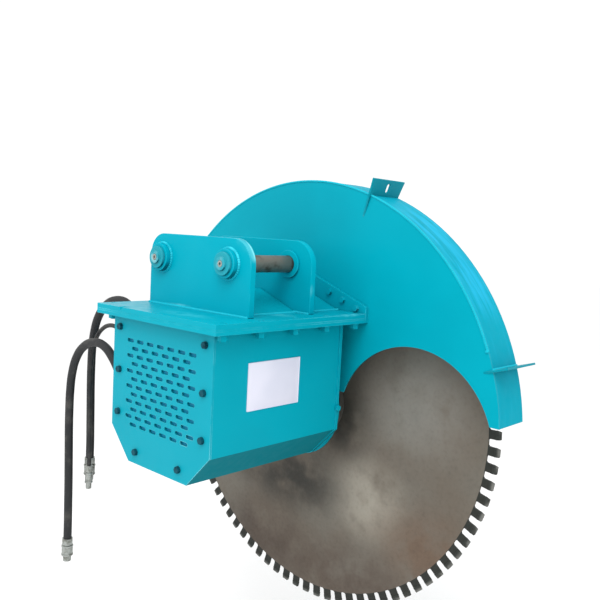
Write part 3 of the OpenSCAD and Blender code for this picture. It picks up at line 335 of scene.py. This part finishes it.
def steel(name, settings):
    material, tree, shader = newMaterial(name)
    point = objectPoint(tree)
    patches = noiseAt(tree, point, settings.get("patch", 0.018), 3.0, 0.55, 0.1)
    colour = mixColours(tree, ramp(tree, patches, 0.46, 0.70),
                        linear(settings["colour"]), linear(settings["dirt"]))
    tree.links.new(colour, shader.inputs["Base Color"])
    rough = spread(tree, patches, settings["roughness"] - 0.05, settings["roughness"] + 0.18)
    tree.links.new(rough, shader.inputs["Roughness"])
    # tool marks of about 0.5 mm, drawn at 2 mm
    roughen(tree, shader, noiseAt(tree, point, 0.002, 2.0), 0.12, 0.0006)
    shader.inputs["Metallic"].default_value = settings["metallic"]
    shader.inputs["Specular IOR Level"].default_value = settings.get("specular", 0.5)
    return material


steels = {name: steel(name, settings) for name, settings in steelSettings.items()}

# Rolled alloy steel disc after use: grey with soft brown clouds of dried slurry and light rust,
# painted shade of the housing as dark ovals by the hub, faint grinding circles, and sooty lands under the
# segments
discSettings = {
    "grey": "#6F6A61",
    "brown": "#625548",
    "dark": "#433F39",
    "land": "#2A2C28",
    "cloud": 0.34, "mottle": 0.09, "speck": 0.012,  # grains in metres
    "circles": 0.006,  # grinding circles of under 1 mm, drawn larger
    "landFrom": 0.6615, "landSoft": 0.0015,
    "patches": [
        # colour, place, size, share
        ("#9A9488", (235, 0, -290), (235, 400, 190), 1.0),
        ("#918E87", (400, 0, 60), (300, 400, 270), 0.60),
        ("#6A5240", (500, 0, -400), (290, 400, 200), 0.70),
        ("#4C3E35", (200, 0, -600), (560, 400, 200), 0.70),
        ("#473B34", (-250, 0, -560), (330, 400, 190), 0.65),
        # The two near black ovals are painted shade of the housing on the disc
        ("#2E2E2B", (-110, 0, -300), (380, 400, 180), 0.90),
        ("#2E2E2B", (100, 0, -60), (200, 400, 200), 0.85),
    ],
}


def radiusFrom(tree, point):
    # Distance from the spindle's axis, in metres
    flat = addNode(tree, "VectorMath", {"operation": "MULTIPLY"}, {0: point, 1: (1, 0, 1)})
    return addNode(tree, "VectorMath", {"operation": "LENGTH"},
                   {0: flat.outputs["Vector"]}).outputs["Value"]


def discSteel(name, settings):
    material, tree, shader = newMaterial(name)
    point = objectPoint(tree, bladeCentre)
    radius = radiusFrom(tree, point)
    cloud = noiseAt(tree, point, settings["cloud"], 3.0, 0.5, 0.1)
    mottle = noiseAt(tree, objectPoint(tree, (1.3, 0.2, 0.7)), settings["mottle"], 3.0, 0.5)
    speck = noiseAt(tree, point, settings["speck"], 3.0, 0.6)
    colour = mixColours(tree, times(tree, ramp(tree, cloud, 0.36, 0.64), 0.5),
                        linear(settings["grey"]), linear(settings["brown"]))
    motorSide = ramp(tree, addNode(tree, "SeparateXYZ", {}, {0: point}).outputs["Y"], 0.001, -0.001)
    for patch, place, size, share in settings["patches"]:
        cover = times(tree, times(tree, ovalMask(tree, place, size), motorSide),
                      ramp(tree, mottle, 0.10, 0.60))
        colour = mixColours(tree, times(tree, cover, share), colour, linear(patch))
    colour = mixColours(tree, times(tree, ramp(tree, mottle, 0.50, 0.75), 0.16),
                        colour, linear(settings["dark"]))
    colour = mixColours(tree, times(tree, ramp(tree, speck, 0.50, 0.75), 0.09),
                        colour, linear(settings["dark"]))
    land = ramp(tree, radius, settings["landFrom"], settings["landFrom"] + settings["landSoft"])
    colour = mixColours(tree, land, colour, linear(settings["land"]))
    tree.links.new(colour, shader.inputs["Base Color"])
    tree.links.new(spread(tree, speck, 0.50, 0.70), shader.inputs["Roughness"])
    circles = addNode(tree, "TexWave", {
        "wave_type": "RINGS", "rings_direction": "Y", "wave_profile": "SIN"
    }, {"Vector": point, "Scale": bandPeriod / settings["circles"], "Distortion": 1.5,
        "Detail": 2.0, "Detail Scale": 2.0}).outputs["Fac"]
    height = addNode(tree, "Math", {"operation": "ADD"},
                     {0: times(tree, circles, 0.35), 1: speck}).outputs[0]
    roughen(tree, shader, height, 0.10, 0.0008)
    shader.inputs["Metallic"].default_value = 0.25
    shader.inputs["Specular IOR Level"].default_value = 0.3
    return material


discMaterial = discSteel("slurry_stained_disc_steel", discSettings)

# Sintered metal and diamond: near black with a green cast and a sandy grain,
# worn to a lighter grey where it has cut
sinterSettings = {
    "dark": "#20231F", "mid": "#30332E", "worn": "#74746F",
    "wornFrom": 0.688, "wornTo": 0.699,  # radii in metres
}


def sinter(name, settings):
    material, tree, shader = newMaterial(name)
    point = objectPoint(tree, bladeCentre)
    grit = noiseAt(tree, point, 0.004, 4.0, 0.7)
    colour = mixColours(tree, ramp(tree, grit, 0.40, 0.62),
                        linear(settings["dark"]), linear(settings["mid"]))
    ground = times(tree, ramp(tree, radiusFrom(tree, point), settings["wornFrom"], settings["wornTo"]),
                   ramp(tree, noiseAt(tree, point, 0.05, 3.0), 0.35, 0.60))
    colour = mixColours(tree, ground, colour, linear(settings["worn"]))
    tree.links.new(colour, shader.inputs["Base Color"])
    roughen(tree, shader, grit, 0.5, 0.001)
    shader.inputs["Roughness"].default_value = 0.62
    shader.inputs["Metallic"].default_value = 0.3
    return material


sinterMaterial = sinter("sintered_segment_metal", sinterSettings)

# Rubber hose cover, cured in a cloth wrap: black, dull, with grey dust
# and a faint weave of 2 mm, drawn at 4 mm
rubberSettings = {
    "wrapped_hose_rubber": {"colour": "#121518", "mark": "#3B3A37", "roughness": 0.6},
    "seal_rubber": {"colour": "#0E0E0F", "mark": "#1C1C1D", "roughness": 0.6},
}


def rubber(name, settings):
    material, tree, shader = newMaterial(name)
    point = objectPoint(tree)
    mark = noiseAt(tree, point, 0.05, 4.0, 0.65)
    colour = mixColours(tree, ramp(tree, mark, 0.48, 0.72),
                        linear(settings["colour"]), linear(settings["mark"]))
    tree.links.new(colour, shader.inputs["Base Color"])
    weave = addNode(tree, "TexWave", {"wave_type": "BANDS", "bands_direction": "DIAGONAL"}, {
        "Vector": point, "Scale": bandPeriod / 0.004, "Distortion": 0.6
    }).outputs["Fac"]
    roughen(tree, shader, weave, 0.15, 0.0005)
    shader.inputs["Roughness"].default_value = settings["roughness"]
    return material


rubbers = {name: rubber(name, settings) for name, settings in rubberSettings.items()}
print("materials made")

# Which finish each CAD node shows
finishes = {
    enamels["saw_enamel"]: [
        "base_plate", "spacer_plate", "front_deck", "rear_deck", "guard_flange", "housing_flange_bars",
        "housing_left_side", "housing_right_side", "housing_bottom", "housing_end_plate",
        "guard_front_plate", "guard_rear_plate", "guard_hub_ring", "motor_mount_plate", "grille_pads",
        "guard_bolts", "guard_nuts", "flange_studs", "flange_nuts", "end_plate_screws",
    ],
    enamels["ear_enamel_painted_light"]: ["front_ear", "rear_ear", "pin_bosses"],
    enamels["cap_enamel"]: ["pin_caps"],
    enamels["tab_enamel_painted_shade"]: ["guard_upper_tab", "guard_lower_tab"],
    enamels["cover_enamel_painted_sheen"]: ["grille_cover"],
    enamels["rim_enamel"]: ["guard_rim"],
    steels["zinc_plated_steel"]: [
        "cartridge_bolts", "bearing_cover_bolts", "motor_bolts", "pin_cap_screws",
        "motor_lines", "hose_fittings", "hose_couplers",
    ],
    steels["blackened_steel"]: ["drive_pins"],
    steels["overpainted_bolt_steel"]: ["grille_bolts"],
    steels["greased_pin_steel"]: ["stick_pin", "link_pin"],
    steels["turned_steel"]: ["spindle", "motor_shaft", "inner_flange", "outer_flange", "spindle_nut"],
    steels["oiled_casting"]: ["bearing_cartridge", "bearing_covers", "coupling_sleeve"],
    steels["bearing_steel"]: ["bearing_outer_rings", "bearing_inner_rings", "bearing_balls"],
    steels["motor_enamel"]: ["motor_body", "motor_end_cap", "motor_port_block"],
    discMaterial: ["blade_core"],
    sinterMaterial: ["blade_segments"],
    rubbers["wrapped_hose_rubber"]: ["pressure_hose", "drain_hose", "return_hose"],
    rubbers["seal_rubber"]: ["oil_seals"],
}
for material, names in finishes.items():
    for name in names:
        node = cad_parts[name]
        node.data.materials.clear()
        node.data.materials.append(material)
dressed = {name for names in finishes.values() for name in names}
bare = sorted(set(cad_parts) - dressed)
if bare:
    raise RuntimeError("no finish for " + ", ".join(bare))
print("finishes given to", len(dressed), "nodes")


# Pieces that take a CAD node's shape and break its sharp edges

def onlySelect(piece):
    bpy.ops.object.select_all(action="DESELECT")
    piece.select_set(True)
    bpy.context.view_layer.objects.active = piece


def applyAll(piece):
    onlySelect(piece)
    for modifier in list(piece.modifiers):
        bpy.ops.object.modifier_apply(modifier=modifier.name)


easeSettings = {
    "merge": 0.02 * mm,
    "flat": math.radians(0.3),  # faces that meet at less than this become one
    "sharp": math.radians(32),  # edges sharper than this are broken
    "segments": 2,
}


def softenedCopy(nodeName, pieceName, width, settings):
    # A copy of the node's mesh, merged, with its flat faces joined and its edges bevelled
    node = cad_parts[nodeName]
    piece = bpy.data.objects.new(pieceName, node.data.copy())
    bpy.context.scene.collection.objects.link(piece)
    onlySelect(piece)
    bpy.ops.object.mode_set(mode="EDIT")
    bpy.ops.mesh.select_all(action="SELECT")
    bpy.ops.mesh.remove_doubles(threshold=settings["merge"])
    bpy.ops.mesh.dissolve_limited(angle_limit=settings["flat"])
    bpy.ops.object.mode_set(mode="OBJECT")
    bevel = piece.modifiers.new("brokenEdge", "BEVEL")
    bevel.width = width
    bevel.segments = settings["segments"]
    bevel.limit_method = "ANGLE"
    bevel.angle_limit = settings["sharp"]
    bevel.use_clamp_overlap = True
    applyAll(piece)
    bpy.ops.object.shade_smooth_by_angle(angle=smoothAngle)
    flat = piece.modifiers.new("flatFaces", "WEIGHTED_NORMAL")  # keeps the large faces even
    flat.keep_sharp = True
    applyAll(piece)
    return piece


# The segments wear narrower towards their tips; from and to are radii in metres
tipSettings = {"count": 86, "from": 0.684, "to": 0.700, "narrower": 0.17}


def wearTips(piece, settings):
    pitch = 2 * math.pi / settings["count"]
    for vertex in piece.data.vertices:
        arm = vertex.co - bladeCentre
        radius, angle = math.hypot(arm.x, arm.z), math.atan2(arm.x, arm.z)
        share = min(max((radius - settings["from"]) / (settings["to"] - settings["from"]), 0), 1)
        offset = (angle + pitch / 2) % pitch - pitch / 2
        angle -= offset * settings["narrower"] * share
        vertex.co = bladeCentre + Vector((radius * math.sin(angle), arm.y, radius * math.cos(angle)))


softened = {
    # node: (edge in mm, body, slot of the record)
    "base_plate": (2.0, "saw_frame", "turquoise_paint"),
    "spacer_plate": (0.8, "saw_frame", "turquoise_paint"),
    "front_ear": (2.0, "saw_frame", "turquoise_paint"),
    "rear_ear": (2.0, "saw_frame", "turquoise_paint"),
    "pin_bosses": (1.5, "saw_frame", "turquoise_paint"),
    "pin_caps": (1.2, "saw_frame", "turquoise_paint"),
    "front_deck": (1.5, "saw_frame", "turquoise_paint"),
    "rear_deck": (1.5, "saw_frame", "turquoise_paint"),
    "guard_flange": (1.5, "saw_frame", "turquoise_paint"),
    "housing_flange_bars": (1.2, "saw_frame", "turquoise_paint"),
    "grille_cover": (0.9, "saw_frame", "turquoise_paint"),
    "housing_end_plate": (1.5, "saw_frame", "turquoise_paint"),
    "guard_front_plate": (1.2, "saw_frame", "turquoise_paint"),
    "guard_rear_plate": (1.2, "saw_frame", "turquoise_paint"),
    "guard_rim": (1.2, "saw_frame", "turquoise_paint"),
    "guard_upper_tab": (1.0, "saw_frame", "turquoise_paint"),
    "guard_lower_tab": (1.0, "saw_frame", "turquoise_paint"),
    "blade_segments": (1.4, "blade_rotor", "segment_metal"),
    "grille_bolts": (0.8, "saw_frame", "dark_fasteners"),
    "guard_bolts": (0.8, "saw_frame", "zinc_fasteners"),
    "flange_nuts": (0.8, "saw_frame", "zinc_fasteners"),
    "hose_fittings": (1.0, "saw_frame", "line_steel"),
    "outer_flange": (1.5, "blade_rotor", "machined_steel"),
    "spindle_nut": (1.5, "blade_rotor", "machined_steel"),
}
for nodeName, (edge, body, slot) in softened.items():
    piece = softenedCopy(nodeName, nodeName + "_eased", edge * mm, easeSettings)
    if nodeName == "blade_segments":
        wearTips(piece, tipSettings)
    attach(piece, body)
    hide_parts(nodeName)
print("edges eased on", len(softened), "pieces")

# Hoses: the routes of part.scad, in millimetres from each ferrule; a length is in metres
hoseSettings = {
    "pressure": {
        "start": (-292.11, -612, 111.11), "diameter": 28, "coupler": 40, "nose": 28, "length": 0.936,
        "route": [
            (0, 0), (-34, 34), (-84, 64), (-145, 68), (-205, 46), (-250, 2), (-275, -55), (-285, -115),
            (-288, -180), (-288, -245), (-286, -310), (-284, -375), (-282, -440), (-281, -505),
            (-280, -570), (-280, -635),
        ],
    },
    "drain": {
        "start": (-292.11, -572, 181.11), "diameter": 14, "coupler": 26.67, "nose": 19, "length": 0.678,
        "route": [
            (0, 0), (-29, 29), (-70, 51), (-115, 55), (-160, 38), (-195, 4), (-215, -40), (-224, -90),
            (-228, -140), (-228, -190), (-226, -240), (-224, -290), (-222, -340), (-220, -390),
            (-220, -440),
        ],
    },
    "return": {
        "start": (-292.11, -532, 246.11), "diameter": 28, "coupler": 40, "nose": 28, "length": 0.802,
        "route": [
            (0, 0), (-34, 34), (-84, 64), (-145, 68), (-205, 46), (-250, 2), (-275, -55), (-285, -115),
            (-288, -180), (-288, -245), (-286, -310), (-284, -375), (-282, -440), (-282, -500),
        ],
    },
}


def hoseCurve(name, points, diameter):
    data = bpy.data.curves.new(name, "CURVE")
    data.dimensions = "3D"
    data.bevel_depth = diameter / 2
    data.bevel_resolution = 6
    data.resolution_u = 6
    data.use_fill_caps = True
    spline = data.splines.new("BEZIER")
    spline.bezier_points.add(len(points) - 1)
    for knot, point in zip(spline.bezier_points, points):
        knot.co = point
        knot.handle_left_type = "AUTO"
        knot.handle_right_type = "AUTO"
    curve = bpy.data.objects.new(name, data)
    bpy.context.scene.collection.objects.link(curve)
    data.materials.append(rubbers["wrapped_hose_rubber"])
    return curve


# A coupler's hexagon, neck, collars, sleeve and nose, in millimetres down from the hose's end
couplerSettings = {
    "edge": 1.2,
    "edgeSegments": 2,
    "steps": [
        # from, to, share of the radius, sides; a share of None takes the nose's diameter
        (0, 20, 1.0, 6), (20, 24, 0.80, 32), (24, 30, 1.0, 32), (30, 54, 0.93, 32),
        (54, 60, 1.0, 32), (60, 80, None, 32),
    ],
}


def couplerPiece(name, top, diameter, nose, settings):
    parts = []
    for start, end, share, sides in settings["steps"]:
        width = nose if share is None else diameter * share
        bpy.ops.mesh.primitive_cylinder_add(
            vertices=sides, radius=width / 2 * mm, depth=(end - start) * mm,
            location=Vector(top) - Vector((0, 0, (start + end) / 2 * mm)))
        part = bpy.context.object
        bevel = part.modifiers.new("brokenEdge", "BEVEL")
        bevel.width = settings["edge"] * mm
        bevel.segments = settings["edgeSegments"]
        applyAll(part)
        parts.append(part)
    bpy.ops.object.select_all(action="DESELECT")
    for part in parts:
        part.select_set(True)
    bpy.context.view_layer.objects.active = parts[0]
    bpy.ops.object.join()
    piece = bpy.context.object
    piece.name = name
    bpy.ops.object.transform_apply(location=True, rotation=True, scale=True)
    bpy.ops.object.shade_smooth_by_angle(angle=smoothAngle)
    piece.data.materials.append(steels["zinc_plated_steel"])
    return piece


for key, settings in hoseSettings.items():
    startX, startY, startZ = settings["start"]
    points = [fromBlade(startX + x, startY, startZ + z) for x, z in settings["route"]]
    hose = hoseCurve(key + "_hose_rubber", points, settings["diameter"] * mm)
    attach(hose, "saw_frame")
    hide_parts(key + "_hose")
    coupler = couplerPiece(key + "_coupler", points[-1], settings["coupler"], settings["nose"],
                           couplerSettings)
    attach(coupler, "saw_frame")
    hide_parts("hose_couplers")
print("hoses hung")

# Weld beads: a ripple repeated along a line. The ripple is in metres,
# and places, in millimetres and degrees, are from the blade's centre
weldSettings = {
    "pitch": 0.0065, "halfWidth": 0.0045, "halfLength": 0.0048, "coat": "bead_enamel_painted_highlight",
    "footHeight": 331,
    "earEnds": (-238, 209), "earFaces": (-542, -520, -298, -276),
    "pins": (-180, 120), "pinHeight": 473, "bossRadius": 44, "bossFaces": (-541.5, -276.5),
    "deckEdge": 161, "frontDeck": (-516, -302), "rearDeck": (-272, -108),
    "rimRadius": 738.5, "rimFace": -91, "rimTurn": (22, 173.5), "rimHalfWidth": 0.004,
    "stopRadius": 737, "stopFace": -92, "stopTurn": (21.8, 22.1), "stopHalfWidth": 0.006,
    "tabs": {"upper": -70, "lower": -17.5}, "tabFoot": (741, 3.5), "tabEnds": (-88, 44),
}


def weldBead(name, points, settings, closed=False, halfWidth=None):
    data = bpy.data.curves.new(name + "_path", "CURVE")
    data.dimensions = "3D"
    spline = data.splines.new("POLY")
    spline.points.add(len(points) - 1)
    for knot, point in zip(spline.points, points):
        knot.co = (*point, 1)
    spline.use_cyclic_u = closed
    path = bpy.data.objects.new(name + "_path", data)
    bpy.context.scene.collection.objects.link(path)
    bpy.ops.mesh.primitive_uv_sphere_add(segments=8, ring_count=5, radius=1, location=(0, 0, 0))
    bead = bpy.context.object
    bead.name = name
    width = halfWidth or settings["halfWidth"]
    bead.scale = (settings["halfLength"], width, width)
    bpy.ops.object.transform_apply(location=False, rotation=False, scale=True)
    array = bead.modifiers.new("ripples", "ARRAY")
    array.fit_type = "FIT_CURVE"
    array.curve = path
    array.use_relative_offset = False
    array.use_constant_offset = True
    array.constant_offset_displace = (settings["pitch"], 0, 0)
    bend = bead.modifiers.new("alongPath", "CURVE")
    bend.object = path
    bend.deform_axis = "POS_X"
    applyAll(bead)
    bpy.ops.object.shade_smooth()
    bpy.data.objects.remove(path)
    bead.data.materials.append(enamels[settings["coat"]])
    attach(bead, "saw_frame")


def lineOf(first, second):
    return [fromBlade(*first), fromBlade(*second)]


def arcOf(radius, y, turn, count, centre=(0, 0)):
    points = []
    for i in range(count):
        angle = math.radians(turn[0] + (turn[1] - turn[0]) * i / (count - 1))
        points.append(fromBlade(centre[0] + radius * math.cos(angle), y,
                                centre[1] + radius * math.sin(angle)))
    return points


def layWelds(settings):
    foot = settings["footHeight"]
    left, right = settings["earEnds"]
    for index, y in enumerate(settings["earFaces"]):
        weldBead("ear_foot_weld_%d" % index, lineOf((left, y, foot), (right, y, foot)), settings)
    for pinIndex, pinX in enumerate(settings["pins"]):
        centre = (pinX, settings["pinHeight"])
        for index, y in enumerate(settings["bossFaces"]):
            ring = arcOf(settings["bossRadius"], y, (0, 356), 64, centre)
            weldBead("boss_weld_%d_%d" % (pinIndex, index), ring, settings, closed=True)
    for index, x in enumerate((-settings["deckEdge"], settings["deckEdge"])):
        for name, (near, far) in (("deck_foot_weld_%d", settings["frontDeck"]),
                                  ("rear_deck_foot_weld_%d", settings["rearDeck"])):
            weldBead(name % index, lineOf((x, near, foot), (x, far, foot)), settings)
    weldBead("guard_rim_weld", arcOf(settings["rimRadius"], settings["rimFace"], settings["rimTurn"], 120),
             settings, halfWidth=settings["rimHalfWidth"])
    weldBead("guard_rim_weld_end",
             arcOf(settings["stopRadius"], settings["stopFace"], settings["stopTurn"], 3),
             settings, halfWidth=settings["stopHalfWidth"])
    out, up = settings["tabFoot"]
    for name, degrees in settings["tabs"].items():
        turned = Matrix.Rotation(math.radians(degrees), 3, "Y")
        ends = [bladeCentre + turned @ (Vector((out, y, up)) * mm) for y in settings["tabEnds"]]
        weldBead(name + "_tab_weld", ends, settings)


layWelds(weldSettings)
print("welds laid")

# The place of the notice on the right side plate: a bare sheet of pale vinyl
stickerSettings = {
    "left": -549, "right": -346, "low": 78, "high": 212, "face": 227, "thick": 0.5,
    "corner": 2, "cornerSegments": 5, "clean": "#DEDEEC", "dull": "#D6D7E6",
}


def vinyl(name, settings):
    # Pale calendered vinyl: satin, dulled in soft patches
    material, tree, shader = newMaterial(name)
    point = objectPoint(tree)
    stain = noiseAt(tree, point, 0.12, 2.0, 0.5)
    colour = mixColours(tree, ramp(tree, stain, 0.40, 0.70),
                        linear(settings["clean"]), linear(settings["dull"]))
    tree.links.new(colour, shader.inputs["Base Color"])
    shader.inputs["Roughness"].default_value = 0.42
    return material


def makeSticker(settings):
    width = (settings["right"] - settings["left"]) * mm
    height = (settings["high"] - settings["low"]) * mm
    centre = fromBlade(settings["face"] + settings["thick"] / 2,
                       (settings["left"] + settings["right"]) / 2,
                       (settings["low"] + settings["high"]) / 2)
    bpy.ops.mesh.primitive_cube_add(size=1, location=centre)
    piece = bpy.context.object
    piece.name = "bare_sticker"
    piece.scale = (settings["thick"] * mm, width, height)
    bpy.ops.object.transform_apply(location=True, rotation=True, scale=True)
    bpy.ops.object.mode_set(mode="EDIT")
    bpy.ops.mesh.select_all(action="DESELECT")
    bpy.ops.object.mode_set(mode="OBJECT")
    for edge in piece.data.edges:
        a, b = (piece.data.vertices[i].co for i in edge.vertices)
        edge.select = abs(a.x - b.x) > settings["thick"] * mm / 2
    bpy.ops.object.mode_set(mode="EDIT")
    bpy.ops.mesh.select_mode(type="EDGE")
    bpy.ops.mesh.bevel(offset=settings["corner"] * mm, segments=settings["cornerSegments"])
    bpy.ops.object.mode_set(mode="OBJECT")
    bpy.ops.object.shade_smooth_by_angle(angle=smoothAngle)
    piece.data.materials.append(vinyl("pale_vinyl", settings))
    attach(piece, "saw_frame")


makeSticker(stickerSettings)
print("sticker placed")

# A wire screen, sprayed with the cover, behind the grille's slots
screenSettings = {
    "halfWidth": 158, "low": -36, "high": 246, "face": -666.6, "thick": 1.0, "edge": 0.4,
    "pitch": 0.004, "wire": "#0088AC", "gap": "#006E90",
}


def wireScreen(settings):
    # Woven wire of 0.5 mm at a pitch of 1.5 mm, drawn at 4 mm, half filled with paint
    material, tree, shader = newMaterial("sprayed_wire_cloth")
    point = objectPoint(tree)
    waves = [addNode(tree, "TexWave", {"wave_type": "BANDS", "bands_direction": way},
                     {"Vector": point, "Scale": bandPeriod / settings["pitch"]}).outputs["Fac"]
             for way in "XZ"]
    weave = addNode(tree, "Math", {"operation": "MAXIMUM"}, {0: waves[0], 1: waves[1]}).outputs[0]
    colour = mixColours(tree, ramp(tree, weave, 0.35, 0.85),
                        linear(settings["gap"]), linear(settings["wire"]))
    tree.links.new(colour, shader.inputs["Base Color"])
    roughen(tree, shader, weave, 0.3, 0.0005)
    shader.inputs["Roughness"].default_value = 0.5
    shader.inputs["Specular IOR Level"].default_value = 0.2
    return material


def makeScreen(settings):
    centre = fromBlade(0, settings["face"] + settings["thick"] / 2,
                       (settings["low"] + settings["high"]) / 2)
    bpy.ops.mesh.primitive_cube_add(size=1, location=centre)
    piece = bpy.context.object
    piece.name = "grille_screen"
    piece.scale = (2 * settings["halfWidth"] * mm, settings["thick"] * mm,
                   (settings["high"] - settings["low"]) * mm)
    bpy.ops.object.transform_apply(location=True, rotation=True, scale=True)
    corners = piece.modifiers.new("cutCorners", "BEVEL")
    corners.width = settings["edge"] * mm
    applyAll(piece)
    piece.data.materials.append(wireScreen(settings))
    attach(piece, "saw_frame")


makeScreen(screenSettings)
print("screen set behind the grille")

# Floor, background and lights
stageSettings = {"floorBelow": 0.35, "size": 60.0, "floorColour": "#FAFAFA", "worldStrength": 1.06}


def makeStage(settings):
    height = cadLow.z - settings["floorBelow"]
    bpy.ops.mesh.primitive_plane_add(size=settings["size"], location=(0, 0, height))
    floor = bpy.context.object
    floor.name = "studio_floor"
    material, tree, shader = newMaterial("painted_studio_floor")
    shader.inputs["Base Color"].default_value = linear(settings["floorColour"])
    shader.inputs["Roughness"].default_value = 1.0
    shader.inputs["Specular IOR Level"].default_value = 0.0
    floor.data.materials.append(material)
    world = bpy.data.worlds.new("studioAir")
    world.use_nodes = True
    background = world.node_tree.nodes["Background"]
    background.inputs["Color"].default_value = (1.0, 1.0, 1.0, 1.0)
    background.inputs["Strength"].default_value = settings["worldStrength"]
    bpy.context.scene.world = world
    bpy.context.scene.view_settings.view_transform = "Standard"


lightSettings = {
    # name: place, aimed at, size in metres, watts
    "overheadSoftbox": ((1.6, -1.9, 2.9), (0.15, 0.0, -0.4), 2.4, 85),
    "softboxLeft": ((-2.2, -3.2, 1.8), (0.1, 0.0, -0.4), 3.4, 28),
}


def makeLights(settings):
    for name, (place, target, size, watts) in settings.items():
        data = bpy.data.lights.new(name, "AREA")
        data.energy = watts
        data.size = size
        light = bpy.data.objects.new(name, data)
        bpy.context.scene.collection.objects.link(light)
        light.location = place
        light.rotation_mode = "QUATERNION"
        light.rotation_quaternion = (Vector(target) - Vector(place)).to_track_quat("-Z", "Y")


makeStage(stageSettings)
makeLights(lightSettings)
print("stage and lights made")

print("cad box", [round(v, 3) for v in (*cadLow, *cadHigh)])
